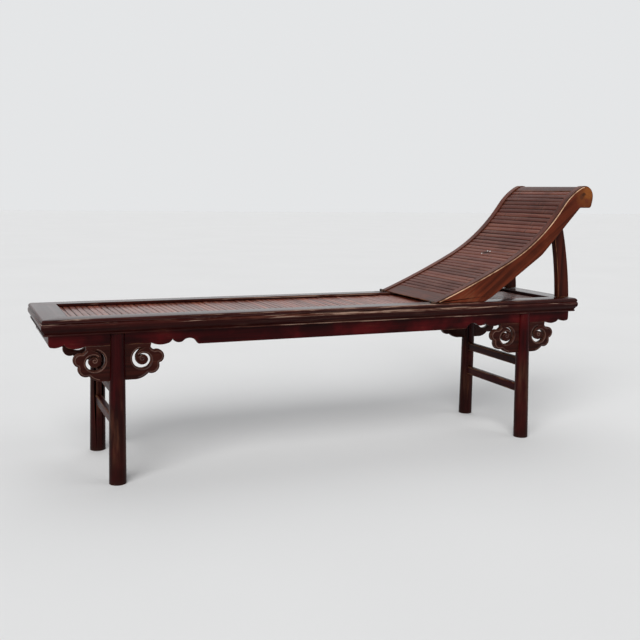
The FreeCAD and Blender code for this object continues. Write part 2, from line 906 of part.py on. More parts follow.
def rounded_corner(shape, corner, heading_in, heading_out, radius):
    """A line to a corner that is rounded to the next heading."""
    turn = heading_out - heading_in
    side = 1 if turn > 0 else -1
    back = radius * math.tan(math.radians(abs(turn)) / 2)
    first = step(corner, heading_in, -back)
    centre = step(first, heading_in + 90 * side, radius)
    middle = step(centre, (heading_in + heading_out) / 2 - 90 * side, radius)
    shape.line(first)
    shape.arc(middle, step(corner, heading_out, back))


def stile_outline():
    """The stile from its thin tip, up and round the scroll head, and back to the heel."""
    seat = float(s.seat_height)
    shape = Outline((TIP[0], seat))
    shape.line(TIP)
    for _, middle, end, _ in contour() + scroll_side():
        shape.arc(middle, end)
    side = float(s.scroll_side_heading)
    base = (0, scroll_middle()[1] - float(s.scroll_base_depth))
    corner = crossing(shape_end(shape), side, base, 0)
    rounded_corner(shape, corner, side, -180, float(s.scroll_base_round))
    upper = float(s.upper_edge_heading)
    lower = float(s.lower_edge_heading)
    neck = contour_where(s.neck_heading, s.neck_depth)
    waist = contour_where(s.waist_heading, s.waist_depth)
    nose = crossing(shape_end(shape), 180, neck, upper)
    bend = crossing(neck, upper, waist, lower)
    rounded_corner(shape, nose, 180, 180 + upper, float(s.nose_round))
    rounded_corner(shape, bend, 180 + upper, 180 + lower, float(s.waist_round))
    shape.line(crossing(waist, lower, (0, seat + float(s.heel_height)), 0))
    return shape.line((TIP[0] + float(s.heel_length), seat))


def shape_end(shape):
    return shape.point.x, shape.point.y


def band(upper_depth, lower_depth, start, end):
    """A curved strip between two depths under the edge, over part of its length."""
    top = contour_run(start, end, upper_depth)
    bottom = contour_run(start, end, lower_depth)
    shape = Outline(top[0][0])
    for _, middle, point in top:
        shape.arc(middle, point)
    shape.line(bottom[-1][2])
    for first, middle, _ in reversed(bottom):
        shape.arc(middle, first)
    return shape


def contour_run(start, end, depth):
    """Arcs of the edge between two distances, at a depth."""
    marks = [0.0]
    heading = float(s.tip_heading)
    for radius, end_heading in contour_turns():
        marks.append(marks[-1] + abs(radius * math.radians(end_heading - heading)))
        heading = end_heading
    cuts = [start] + [mark for mark in marks if start < mark < end] + [end]
    nudge = 1e-9
    arcs = []
    for low, high in zip(cuts, cuts[1:]):
        first = contour_at(low + nudge, depth)[0]
        middle = contour_at((low + high) / 2, depth)[0]
        arcs.append((first, middle, contour_at(high - nudge, depth)[0]))
    return [
        (arcs[i - 1][2] if i else first, middle, last)
        for i, (first, middle, last) in enumerate(arcs)
    ]


def tilted_block(centre, heading, along, across):
    """A rectangle centred on a point and turned to a heading."""
    half_along = float(along) / 2
    half_across = float(across) / 2
    corners = []
    for u, v in ((-1, -1), (1, -1), (1, 1), (-1, 1)):
        corners.append(step(step(centre, heading, u * half_along), heading + 90, v * half_across))
    shape = Outline(corners[0])
    for corner in corners[1:]:
        shape.line(corner)
    return shape


SLAT_START = float(s.bottom_board_length + s.slat_margin)
SLAT_END = contour_length() - float(s.crest_lip)
SLAT_DEPTH = float(s.back_recess) + float(s.slat_thickness)
PIVOT = contour_where(s.pivot_heading, s.pivot_depth)
hinge_x = TIP_X - s.hinge_knuckle_radius - s.hinge_gap
hinge_z = s.seat_height + s.hinge_knuckle_radius + s.hinge_lift
stile_middle = stile_face - s.stile_thickness / 2


def cross_rail_section(distance, shoulder=0):
    """The rail's section under the slats, or its tenon's with a shoulder all round."""
    depth = SLAT_DEPTH + float(s.groove_play) + float(s.cross_rail_thickness) / 2
    centre, heading = contour_at(float(distance), depth)
    along = s.cross_rail_width - dim(shoulder) * 2
    across = s.cross_rail_thickness - dim(shoulder) * 2
    return tilted_block(centre, heading, along, across)


def cross_rail_places():
    return {"lower": s.lower_cross_rail_at, "middle": s.middle_cross_rail_at}


def stile(label, side):
    """An S-curved stile with its slat groove, mortises, pivot hole and hinge seat."""
    body = new_body(label)
    y_low = edge_sides(side, stile_back, s.stile_thickness)
    plate(body, f"{label}_blank", [stile_outline()], y_low, s.stile_thickness)
    inner_low = edge_sides(side, stile_back, s.back_housing)
    play = float(s.groove_play)
    groove = band(float(s.back_recess) - play, SLAT_DEPTH + play, SLAT_START, SLAT_END)
    cut_plate(body, f"{label}_slat_groove", [groove], inner_low, s.back_housing)
    tenon_low = edge_sides(side, stile_back, s.cross_rail_tenon)
    for name, distance in cross_rail_places().items():
        section = cross_rail_section(distance, s.tenon_shoulder)
        cut_plate(body, f"{label}_{name}_mortise", [section], tenon_low, s.cross_rail_tenon)
    hole_low = edge_sides(side, stile_back, s.pivot_housing)
    hole = circle(body, f"{label}_pivot_circle", "XZ_Plane", *PIVOT, s.pivot_radius, -hole_low)
    pocket(body, f"{label}_pivot_hole", hole, s.pivot_housing)
    seat_low = edge_sides(side, stile_middle - s.hinge_width / 2, s.hinge_width)
    leaf_top = s.seat_height + s.hinge_lift + s.hinge_leaf_thickness
    high = (hinge_x + s.hinge_leaf_length, seat_low + s.hinge_width, leaf_top)
    box(body, f"{label}_hinge_seat", (TIP_X, seat_low, s.seat_height), high, cut=True)


def spanning(label, outline, half_span):
    """A piece of constant section across the back."""
    body = new_body(label)
    plate(body, f"{label}_section", [outline], -dim(half_span), dim(half_span) * 2)
    return body


def cross_rail(label, distance):
    """A rail under the slats, with a shouldered tenon in each stile."""
    body = spanning(label, cross_rail_section(distance), stile_back)
    reach = stile_back + s.cross_rail_tenon
    tenon = cross_rail_section(distance, s.tenon_shoulder)
    plate(body, f"{label}_tenons", [tenon], -reach, reach * 2)


def back_slats():
    run = SLAT_END - SLAT_START
    count = round(run / float(s.back_slat_pitch))
    pitch = run / count
    places = [contour_at(SLAT_START + (i + 0.5) * pitch, float(s.back_recess)) for i in range(count)]
    slat_group("back_slats", places, stile_back + s.back_housing - s.end_play)
    return places


def bottom_board():
    """The wedge that carries the back's surface down to the seat."""
    floor = float(s.seat_height + s.bottom_board_lift)
    recess = float(s.back_recess)
    end = float(s.bottom_board_length)
    run = contour_run(2 * recess, end, recess)
    shape = Outline((run[0][0][0], floor))
    shape.line(run[0][0])
    for _, middle, point in run:
        shape.arc(middle, point)
    under, heading = contour_at(end, recess + float(s.bottom_board_thickness))
    shape.line(under)
    shape.line(crossing(under, heading, (0, floor), 0))
    spanning("back_bottom_board", shape, stile_back)


def crest_roll():
    """The rounded bar between the scrolls, with a lip that meets the last slat."""
    recess = float(s.back_recess)
    start = SLAT_END + float(s.slat_margin)
    run = contour_run(start, contour_length(), recess)
    shape = Outline(run[0][0])
    for _, middle, point in run:
        shape.arc(middle, point)
    radius = float(s.scroll_radius) - recess
    roll = arc_chain(run[-1][2], float(s.scroll_heading), [(-radius, -180)])[0]
    shape.arc(roll[1], roll[2])
    shape.line(contour_at(start, float(s.crest_lip_depth))[0])
    spanning("crest_roll", shape, stile_back)


# Hinges at the stiles' tips.

BARREL_FLATS = 24


def hinge_parts(front, side):
    """One butt hinge: the bed's leaf, the back's leaf and the pin."""
    y_low = edge_sides(side, stile_middle - s.hinge_width / 2, s.hinge_width)
    y_high = y_low + s.hinge_width
    third = s.hinge_width / 3
    radius = s.hinge_knuckle_radius
    above = s.seat_height + radius * 3
    clear = s.hinge_gap

    leaf = new_body(f"{front}_hinge_bed_leaf")
    name = leaf.Label
    low = (hinge_x - s.hinge_leaf_length, y_low, s.seat_height - s.hinge_leaf_thickness)
    box(leaf, f"{name}_flap", low, (hinge_x, y_high, s.seat_height))
    web_low = (hinge_x - radius, y_low, s.seat_height - s.hinge_leaf_thickness / 2)
    box(leaf, f"{name}_web", web_low, (hinge_x, y_high, hinge_z))
    knuckle(leaf, name, y_low, radius, s.hinge_width)
    gap_low = (hinge_x - radius - clear, y_low + third, s.seat_height)
    gap_high = (hinge_x + radius + clear, y_high - third, above)
    box(leaf, f"{name}_gap", gap_low, gap_high, cut=True)
    bore(leaf, name, y_low, s.hinge_pin_radius, s.hinge_width)

    leaf = new_body(f"{front}_hinge_back_leaf")
    name = leaf.Label
    bottom = s.seat_height + s.hinge_lift
    high = (hinge_x + s.hinge_leaf_length, y_high, bottom + s.hinge_leaf_thickness)
    box(leaf, f"{name}_flap", (hinge_x, y_low, bottom), high)
    for end, start, stop in (("first", y_low, y_low + third), ("last", y_high - third, y_high)):
        gap_low = (hinge_x, start - clear * (end == "last"), s.seat_height)
        gap_high = (hinge_x + radius + clear, stop + clear * (end == "first"), above)
        box(leaf, f"{name}_{end}_gap", gap_low, gap_high, cut=True)
    knuckle(leaf, name, y_low + third + clear, radius, third - clear * 2)
    bore(leaf, name, y_low, s.hinge_pin_radius + s.hinge_pin_play, s.hinge_width)

    pin = new_body(f"{front}_hinge_pin")
    y_end = -(y_low + s.hinge_width)
    ring = circle(pin, f"{pin.Label}_ring", "XZ_Plane", hinge_x, hinge_z, s.hinge_pin_radius, y_end)
    pad(pin, f"{pin.Label}_shank", ring, s.hinge_width)


def knuckle(body, name, y_low, radius, width):
    """A rolled barrel round the hinge's axis, with the smith's flats."""
    corners = flats_round((hinge_x, hinge_z), radius, BARREL_FLATS)
    shape = Outline(corners[0])
    for corner in corners[1:]:
        shape.line(corner)
    plate(body, f"{name}_barrel", [shape], y_low, width)


def bore(body, name, y_low, radius, width):
    ring = circle(body, f"{name}_bore_ring", "XZ_Plane", hinge_x, hinge_z, radius, -y_low)
    pocket(body, f"{name}_bore", ring, width)


# The folding prop.

post_back = stile_back - s.post_side_gap - s.post_thickness


def prop_axis():
    """The foot's middle, the direction up to the pivot, and its heading."""
    foot = (float(half_length - s.post_foot_inset), float(s.seat_height + s.post_foot_gap))
    heading = math.degrees(math.atan2(PIVOT[1] - foot[1], PIVOT[0] - foot[0]))
    return foot, heading, math.dist(foot, PIVOT)


def post_rail_section():
    _, heading, _ = prop_axis()
    centre = step(PIVOT, heading, -float(s.post_rail_at))
    return tilted_block(centre, heading, s.post_rail_width, s.post_rail_thickness)


def prop_post(label, side):
    """A bowed, tapering post with a round head bored for its pivot pin."""
    body = new_body(label)
    foot, heading, length = prop_axis()
    half_foot = float(s.post_foot_width) / 2
    half_middle = float(s.post_middle_width) / 2
    head = float(s.post_head_radius)
    middle = step(step(foot, heading, length / 2), heading - 90, float(s.post_bow))
    shape = Outline((foot[0] + half_foot, foot[1]))
    shape.arc(step(middle, heading - 90, half_middle), step(PIVOT, heading - 90, head))
    shape.arc(step(PIVOT, heading, head), step(PIVOT, heading + 90, head))
    shape.arc(step(middle, heading + 90, half_middle), (foot[0] - half_foot, foot[1]))
    y_low = edge_sides(side, post_back, s.post_thickness)
    plate(body, f"{label}_bar", [shape], y_low, s.post_thickness)
    hole = circle(body, f"{label}_eye_ring", "XZ_Plane", *PIVOT, s.pivot_radius + s.pivot_play, -y_low)
    pocket(body, f"{label}_eye", hole, s.post_thickness)
    tenon_low = edge_sides(side, post_back, s.post_rail_tenon)
    cut_plate(body, f"{label}_mortise", [post_rail_section()], tenon_low, s.post_rail_tenon)


def pivot_pin(label, side):
    """The pin fixed in the stile that the post turns on."""
    body = new_body(label)
    length = s.pivot_housing + s.post_side_gap + s.post_thickness
    y_low = edge_sides(side, post_back, length)
    ring = circle(body, f"{label}_ring", "XZ_Plane", *PIVOT, s.pivot_radius, -(y_low + length))
    pad(body, f"{label}_shank", ring, length)


NAIL_FLATS = 12


def repair_nails(places):
    """Hammered heads of an old repair, each seated on a slat of the back."""
    slat = round((float(s.nail_distance) - SLAT_START) / float(s.back_slat_pitch))
    heads = []
    for index, y in ((slat, -s.nail_spacing), (slat, dim(0)), (slat - 1, s.nail_spacing)):
        base, heading = places[index]
        corners = [Vector(u, v, 0) for u, v in flats_round((0, 0), float(s.nail_head_radius), NAIL_FLATS)]
        rim = Part.Face(Part.makePolygon(corners + corners[:1]))
        head = rim.extrude(Vector(0, 0, float(s.nail_head_height)))
        head.rotate(Vector(0, 0, 0), Vector(0, 1, 0), -heading)
        head.translate(Vector(base[0], float(y), base[1]))
        heads.append(head)
    group_of("repair_nails", heads)


def build():
    side_rail("front_rail", False)
    side_rail("rear_rail", True)
    end_rail("foot_end_rail", False)
    end_rail("head_end_rail", True)
    seat_slats()
    seat_batten()
    for name, x in brace_places().items():
        seat_brace(name, x)
    for side_name, side in (("front", -1), ("rear", 1)):
        side_apron(f"{side_name}_apron", side)
        for end_name, end_sign in (("foot", -1), ("head", 1)):
            spandrel(f"{side_name}_{end_name}_spandrel", side, end_sign)
            leg(f"{side_name}_{end_name}_leg", end_sign, side)
        stile(f"{side_name}_stile", side)
        hinge_parts(side_name, side)
        prop_post(f"{side_name}_prop_post", side)
        pivot_pin(f"{side_name}_pivot_pin", side)
    for end_name, end_sign in (("foot", -1), ("head", 1)):
        end_apron(f"{end_name}_end_apron", end_sign)
        for level_name, level in stretcher_levels().items():
            stretcher(f"{end_name}_{level_name}_stretcher", level, end_sign)
    repair_nails(back_slats())
    bottom_board()
    for name, distance in cross_rail_places().items():
        cross_rail(f"back_{name}_rail", distance)
    crest_roll()
    spanning("prop_rail", post_rail_section(), post_back + s.post_rail_tenon)


def check_and_write():
    doc.recompute()
    for item in doc.Objects:
        if "Invalid" in item.State or "Error" in item.State:
            raise RuntimeError(f"{item.Name} failed: {item.State}")
    os.makedirs("parts", exist_ok=True)
    kinds = ("PartDesign::Body", "Part::Feature")
    pieces = [item for item in doc.Objects if item.TypeId in kinds]
    for piece in pieces:
        if piece.Shape.isNull() or not piece.Shape.isValid():
            raise RuntimeError(f"{piece.Label} has no valid shape")
        piece.Shape.exportStep(f"parts/{piece.Label}.step")
        print(f"{piece.Label}: {len(piece.Shape.Solids)} solids, {piece.Shape.Volume:.0f} mm3")
    for name, (x, z) in (("hinge_axis", (hinge_x, hinge_z)), ("pivot_axis", PIVOT)):
        print(f"{name} at {float(x + bed_shift):.3f} {float(z):.3f}")


build()
check_and_write()
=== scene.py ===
"""The looks of a long bamboo daybed with a folding back."""

import math

import bmesh
import bpy
from bpy.props import FloatProperty, FloatVectorProperty, IntProperty, PointerProperty
from mathutils import Matrix, Vector


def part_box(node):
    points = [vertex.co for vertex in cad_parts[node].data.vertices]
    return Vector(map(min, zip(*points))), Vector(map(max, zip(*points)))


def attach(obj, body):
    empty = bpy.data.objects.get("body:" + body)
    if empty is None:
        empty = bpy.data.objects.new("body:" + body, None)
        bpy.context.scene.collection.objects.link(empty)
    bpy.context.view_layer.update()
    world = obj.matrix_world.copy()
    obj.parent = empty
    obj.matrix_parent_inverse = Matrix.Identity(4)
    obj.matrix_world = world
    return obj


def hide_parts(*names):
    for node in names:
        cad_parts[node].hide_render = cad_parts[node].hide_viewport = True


bl_info = {
    "name": "Bamboo Daybed",
    "version": (1, 0, 0),
    "blender": (4, 5, 0),
    "location": "View3D > Sidebar > Daybed",
    "description": "Dresses the packed daybed with carved, worn and slatted pieces",
    "category": "Object",
}

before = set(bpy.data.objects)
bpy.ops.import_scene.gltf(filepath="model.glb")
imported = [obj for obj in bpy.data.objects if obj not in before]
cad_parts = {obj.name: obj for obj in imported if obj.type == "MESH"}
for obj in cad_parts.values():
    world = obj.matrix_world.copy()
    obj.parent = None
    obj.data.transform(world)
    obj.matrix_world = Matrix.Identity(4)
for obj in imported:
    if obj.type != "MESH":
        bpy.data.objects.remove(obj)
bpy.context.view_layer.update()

RAIL_LOW, RAIL_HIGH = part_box("front_rail")
SEAT_TOP = RAIL_HIGH.z
RAIL_BOTTOM = RAIL_LOW.z
BED_MIDDLE = (RAIL_LOW.x + RAIL_HIGH.x) / 2


# The sides and ends by their signs, the camera with its angles in radians and its lens in
# millimetres, and the counts and the sizes in metres of what repeats.

SIDES = {"front": -1, "rear": 1}
ENDS = {"foot": -1, "head": 1}
CAMERA_PLACE = (-1.13775, -2.5784, 0.8317)
CAMERA_YAW = -0.409199404
CAMERA_PITCH = 0.147458046
CAMERA_ROLL = 0.0159749229
CAMERA_LENS = 48.664
FLOOR_REACH = 30.0
LEG_REACH = 0.687
OUTER_LOBE = 121 / 131
SHARP = math.radians(30)
SLAT_THICKNESS = 0.008
SEAT_SLATS = 89
SEAT_SLAT_WIDTH = 0.0174
SEAT_SLATS_INSET = 0.008
BACK_SLATS = 34
BACK_SLAT_WIDTH = 0.0169
BACK_SLATS_START = 0.0635
BACK_SLATS_STOP = 0.024
BACK_SLATS_DEPTH = 0.003
BEAD_START = 0.014
BARE_ROLL = 0.88
CLOUD_ROUND = 0.003
SCREW_SPOTS = ((0.006, -0.006), (0.006, 0.006), (0.017, 0))
SCREW_RISE = 0.00012


# Settings.


def length(name, text, metres, most):
    return FloatProperty(
        name=name, description=text, default=metres, min=0, max=most, unit="LENGTH"
    )


def share(name, text, amount):
    return FloatProperty(
        name=name, description=text, default=amount, min=0, max=1, subtype="FACTOR"
    )


def tint(name, text, *colour):
    return FloatVectorProperty(
        name=name, description=text, default=colour, min=0, max=1, size=3, subtype="COLOR"
    )


class DaybedWood(bpy.types.PropertyGroup):
    rail_tint: tint("Rail Wood", "Dark brown of the seat frame", 0.024, 0.0035, 0.0025)
    leg_tint: tint("Leg Lacquer", "Oxblood lacquer of the legs and aprons", 0.02, 0.0009, 0.0012)
    carving_tint: tint("Carving Wood", "Brown black of the pierced spandrels", 0.022, 0.004, 0.0025)
    back_tint: tint("Back Wood", "Warm brown of the stiles", 0.074, 0.0135, 0.005)
    post_tint: tint("Post Wood", "Brown of the folding prop", 0.036, 0.006, 0.003)
    worn_tint: tint("Worn Edge", "Bare wood where hands have rubbed the edges", 0.23, 0.105, 0.05)
    edge_round: length("Edge Round", "Radius of the softened edges", 0.0014, 0.01)
    edge_wear: length("Worn Width", "Width of the worn band along an edge", 0.0035, 0.02)


class DaybedSlats(bpy.types.PropertyGroup):
    bamboo_tint: tint("Bamboo", "Red brown of the aged bamboo", 0.15, 0.031, 0.0175)
    pale_tint: tint("Pale Bamboo", "Paler streaks in the bamboo", 0.26, 0.092, 0.056)
    crown: length("Crown", "Height of a slat's middle over its edges", 0.0006, 0.004)
    ease: length("Eased Edge", "Drop of a slat's rubbed edge", 0.0016, 0.004)
    uneven: length("Unevenness", "How far the slats stand out of line", 0.0005, 0.002)
    seed: IntProperty(name="Seed", description="Pattern of the uneven slats", default=4, min=0)


class DaybedTrim(bpy.types.PropertyGroup):
    bead_radius: length("Bead Radius", "Radius of the carved beads", 0.0017, 0.005)
    bead_inset: length("Bead Inset", "Distance of a bead from the edge it follows", 0.0052, 0.02)
    screw_radius: length("Screw Radius", "Radius of a hinge screw's head", 0.0021, 0.004)
    iron_tint: tint("Iron", "Dark iron of the hinges", 0.042, 0.032, 0.027)
    nail_tint: tint("Nail", "Bright heads of the repair nails", 0.62, 0.60, 0.57)
    gloss: share("Polish", "Strength of the polish over the wood", 0.035)


# Shader fields. A field stands for a socket, and sums of fields add nodes.


class Field:
    """A shader socket that takes part in arithmetic."""

    def __init__(self, finish, socket):
        self.finish = finish
        self.socket = socket

    def math(self, operation, first, second=0.0):
        inputs = {0: first, 1: second}
        return self.finish.node("ShaderNodeMath", {"operation": operation}, inputs)

    def __add__(self, other):
        return self.math("ADD", self, other)

    def __sub__(self, other):
        return self.math("SUBTRACT", self, other)

    def __rsub__(self, other):
        return self.math("SUBTRACT", other, self)

    def __mul__(self, other):
        return self.math("MULTIPLY", self, other)

    def __pow__(self, other):
        return self.math("POWER", self, other)

    def __abs__(self):
        return self.math("ABSOLUTE", self)

    def fraction(self):
        return self.math("FRACT", self)

    def between(self, low, high, start=0.0, end=1.0):
        """A smooth step from start to end as this field goes from low to high."""
        inputs = {"Value": self, "From Min": low, "From Max": high, "To Min": start, "To Max": end}
        return self.finish.node("ShaderNodeMapRange", {"interpolation_type": "SMOOTHSTEP"}, inputs)

    __radd__ = __add__


class Finish:
    """A material built from fields."""

    def __init__(self, name):
        self.material = bpy.data.materials.new(name)
        self.material.use_nodes = True
        self.tree = self.material.node_tree
        self.tree.nodes.clear()
        self.shader = self.tree.nodes.new("ShaderNodeBsdfPrincipled")
        output = self.tree.nodes.new("ShaderNodeOutputMaterial")
        self.tree.links.new(self.shader.outputs["BSDF"], output.inputs["Surface"])
        self.place = self.node("ShaderNodeTexCoord", {}, {}, "Object")

    def node(self, kind, settings, inputs, out=0):
        """Any node, from its type, its settings, and the values or fields of its sockets."""
        made = self.tree.nodes.new(kind)
        for key, value in settings.items():
            setattr(made, key, value)
        for key, value in inputs.items():
            self.feed(made.inputs[key], value)
        return Field(self, made.outputs[out])

    def feed(self, socket, value):
        if isinstance(value, Field):
            self.tree.links.new(value.socket, socket)
        else:
            socket.default_value = value

    def surface(self, **values):
        """Feeds the shader: a name's underscores stand for spaces."""
        for name, value in values.items():
            self.feed(self.shader.inputs[name.replace("_", " ")], value)
        return self.material

    def axis(self, index):
        return self.node("ShaderNodeSeparateXYZ", {}, {0: self.place}, index)

    def noise(self, scale, turn=(0, 0, 0), detail=4.0, rough=0.55, warp=0.0):
        """Noise whose patches have these lengths in metres along the piece's axes."""
        inputs = {"Vector": self.place, "Rotation": turn, "Scale": scale}
        stretched = self.node("ShaderNodeMapping", {"vector_type": "TEXTURE"}, inputs)
        inputs = {
            "Vector": stretched,
            "Scale": 1.0,
            "Detail": detail,
            "Roughness": rough,
            "Distortion": warp,
        }
        return self.node("ShaderNodeTexNoise", {}, inputs, "Fac")

    def attribute(self, name):
        return self.node("ShaderNodeAttribute", {"attribute_name": name}, {}, "Fac")

    def mix(self, amount, first, second):
        """A colour between two colours."""
        inputs = {0: amount, 6: opaque(first), 7: opaque(second)}
        return self.node("ShaderNodeMix", {"data_type": "RGBA"}, inputs, 2)

    def bump(self, height, strength, distance, under=None):
        inputs = {"Height": height, "Strength": strength, "Distance": distance}
        if under is not None:
            inputs["Normal"] = under
        return self.node("ShaderNodeBump", {}, inputs)

    def distance(self, point):
        """How far a spot is from a line along Y through this X and Z."""
        x = self.axis(0) - point[0]
        z = self.axis(2) - point[1]
        return (x * x + z * z) ** 0.5


def opaque(colour):
    return colour if isinstance(colour, Field) else (*colour[:3], 1.0)


def shade(colour, amount):
    return tuple(min(1.0, part * amount) for part in colour)


def grained(grain, long, short):
    """Patch lengths for noise: long on the grain's axis and short on the others."""
    return [long if axis == grain else short for axis in range(3)]


# Finishes.


def lacquered_wood(
    name,
    colour,
    grain,
    turn=0.0,
    wear=0.5,
    rough=0.3,
    tone=None,
    edge_tint=None,
    glow=1.9,
    polish=None,
):
    """Aged lacquer over wood, with grain along one axis and bare wood, or a given edge tint,
    showing at worn edges.
    """
    wood = bpy.context.scene.daybed_wood
    finish = Finish(name)
    turned = (0, turn, 0)
    figure = finish.noise(grained(grain, 0.35, 0.011), turned, 5, 0.6, 0.35)
    fine = finish.noise(grained(grain, 0.12, 0.0016), turned, 3, 0.6)
    patches = finish.noise((0.13, 0.13, 0.13), detail=3)
    scuffs = finish.noise(grained(grain, 0.05, 0.006), turned, 5, 0.65)
    edge = finish.attribute("edge")
    rubbed = (edge * 0.7 + scuffs * 0.9).between(1.18 - 0.45 * wear, 1.42 - 0.45 * wear)
    speckled = (scuffs * 0.6 + patches * 0.55).between(0.67 - 0.05 * wear, 0.78 - 0.05 * wear)
    body = finish.mix(figure.between(0.32, 0.7), shade(colour, 0.5), shade(colour, 1.4))
    # Lighter patches of random tone; at the legs' and aprons' high glow they are partly a painted
    # highlight, for red glints on the lacquer.
    body = finish.mix(patches.between(0.42, 0.7) * 0.55, body, shade(colour, glow))
    body = finish.mix(fine.between(0.56, 0.7) * 0.6, body, shade(colour, 0.3))
    body = finish.mix(speckled * 0.3 * wear, body, wood.worn_tint)
    if tone is not None:
        body = tone(finish, body)
    # Worn edges take bare wood or the given edge tint; the stiles' dark edge tint is partly lacquer
    # left on the edges and partly painted shade.
    body = finish.mix(rubbed * (0.35 + 0.5 * wear), body, edge_tint or wood.worn_tint)
    roughness = rough + patches * 0.14 + rubbed * 0.12 - figure * 0.08
    relief = finish.bump(fine + figure * 0.6, 0.2, 0.0006)
    relief = finish.bump(scuffs, 0.16, 0.0012, relief)
    return finish.surface(
        Base_Color=body,
        Roughness=roughness,
        Normal=relief,
        Specular_IOR_Level=0.05,
        Coat_Weight=polish(finish) if polish else bpy.context.scene.daybed_trim.gloss,
        Coat_Roughness=0.14,
    )


def worn_wood(name, grain, colour, dark):
    """A carved bead, rubbed bare in most places."""
    finish = Finish(name)
    rubbed = finish.noise((0.05, 0.05, 0.05), detail=5, rough=0.65).between(0.36, 0.62)
    figure = finish.noise(grained(grain, 0.1, 0.004), detail=4)
    body = finish.mix(rubbed, dark, finish.mix(figure, shade(colour, 0.7), shade(colour, 1.3)))
    return finish.surface(
        Base_Color=body,
        Roughness=0.3 + figure * 0.2,
        Normal=finish.bump(figure, 0.15, 0.0005),
        Specular_IOR_Level=0.3,
    )


def bamboo(name, gloss, polish, depth, gap_shade, stain=None):
    """Split bamboo: fine fibres along Y, dark joints, a different tone for each slat, and painted
    shade along the slats' edges and undersides.
    """
    slats = bpy.context.scene.daybed_slats
    # depth scales both bamboo tints: the seat's 1.2 is a painted highlight for the glare on its
    # top, and the back's 0.74 darkens it.
    dark_bamboo = shade(slats.bamboo_tint, depth)
    pale_bamboo = shade(slats.pale_tint, depth)
    finish = Finish(name)
    tone = finish.attribute("tone")
    fibres = finish.noise((0.0009, 0.16, 0.0016), detail=3, rough=0.6)
    streaks = finish.noise((0.0042, 0.22, 0.02), detail=4, rough=0.55, warp=0.2)
    stains = finish.noise((0.09, 0.12, 0.09), detail=4, rough=0.6)
    along = finish.axis(1) * 3.4 + tone * 9.7
    away = abs(along.fraction() - 0.5)
    joint = away.between(0.004, 0.014, 1.0, 0.0)
    near_joint = away.between(0.0, 0.09, 1.0, 0.0)
    body = finish.mix(streaks.between(0.34, 0.72), dark_bamboo, pale_bamboo)
    body = finish.mix(tone.between(0.1, 0.95) * 0.75, body, shade(dark_bamboo, 0.42))
    body = finish.mix(stains.between(0.5, 0.72) * 0.6, body, shade(dark_bamboo, 0.35))
    body = finish.mix(fibres.between(0.5, 0.66) * 0.4, body, shade(dark_bamboo, 0.25))
    body = finish.mix(near_joint * 0.22, body, pale_bamboo)
    body = finish.mix(joint * 0.7, body, shade(dark_bamboo, 0.2))
    # Painted shade: each slat's edges and underside go nearly black, for the shade in the gaps
    # between slats and under them, more so on darker slats.
    rim = finish.attribute("rim").between(0.25, 0.95) * (tone * 0.6 + gap_shade)
    body = finish.mix(rim, body, shade(dark_bamboo, 0.08))
    if stain is not None:
        away = finish.distance(stain) + abs(finish.axis(1)) * 0.35 + stains * 0.006
        body = finish.mix(away.between(0.018, 0.007) * 0.85, body, shade(dark_bamboo, 0.12))
    relief = finish.bump(fibres, 0.16, 0.0004)
    relief = finish.bump(streaks - joint * 0.8, 0.3, 0.0006, relief)
    return finish.surface(
        Base_Color=body,
        Roughness=gloss + stains * 0.2 + fibres * 0.08,
        Normal=relief,
        Specular_IOR_Level=0.1,
        Coat_Weight=polish,
        Coat_Roughness=0.13,
    )


def aged_metal(name, colour, rust, rough):
    """Iron or steel with rust in its pits."""
    finish = Finish(name)
    pits = finish.noise((0.006, 0.006, 0.006), detail=6, rough=0.7)
    blooms = finish.noise((0.02, 0.02, 0.02), detail=3)
    rusted = (pits + blooms).between(1.05 - rust, 1.35 - rust)
    body = finish.mix(rusted, colour, (0.11, 0.042, 0.018))
    return finish.surface(
        Base_Color=body,
        Metallic=1 - rusted,
        Roughness=rough + rusted * 0.4,
        Normal=finish.bump(pits, 0.3, 0.0004),
    )


# Meshes.


def linked(name, data):
    """A new object in the scene."""
    made = bpy.data.objects.new(name, data)
    bpy.context.scene.collection.objects.link(made)
    return made


def evaluated(carrier):
    """The plain mesh that an object becomes, with the object itself removed."""
    bpy.context.view_layer.update()
    graph = bpy.context.evaluated_depsgraph_get()
    mesh = bpy.data.meshes.new_from_object(carrier.evaluated_get(graph))
    bpy.data.objects.remove(carrier)
    return mesh


def finished(name, mesh, body, slot, *materials):
    """A piece at the origin that rides on its body and shows its finishes."""
    piece = linked(name, mesh)
    if materials:
        mesh.materials.clear()
    for material in materials:
        mesh.materials.append(material)
    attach(piece, body)
    return piece


def merged_copy(node):
    """The CAD node's faces, joined up, as a new edit mesh."""
    work = bmesh.new()
    work.from_mesh(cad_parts[node].data)
    bmesh.ops.remove_doubles(work, verts=work.verts, dist=2e-6)
    bmesh.ops.dissolve_limit(
        work, angle_limit=math.radians(0.4), verts=work.verts, edges=work.edges
    )
    return work


def regions(faces):
    """Faces in groups that share edges."""
    waiting = set(faces)
    groups = []
    while waiting:
        group = [waiting.pop()]
        for face in group:
            for edge in face.edges:
                for other in edge.link_faces:
                    if other in waiting:
                        waiting.remove(other)
                        group.append(other)
        groups.append(group)
    return groups


def mark_worn(work, faces, marks, wear):
    """Marks every vertex as worn, apart from those inside a band along each region's border."""
    for vert in work.verts:
        vert[marks] = 1.0
    for group in regions(faces):
        members = set(group)
        area = sum(face.calc_area() for face in group)
        border = sum(
            edge.calc_length()
            for edge in {edge for face in group for edge in face.edges}
            if sum(face in members for face in edge.link_faces) == 1
        )
        band = min(wear, 0.5 * area / border) if border else 0
        if band > 0.0004:
            bmesh.ops.inset_region(work, faces=group, thickness=band, use_even_offset=True)
            for vert in {vert for face in group if face.is_valid for vert in face.verts}:
                vert[marks] = 0.0


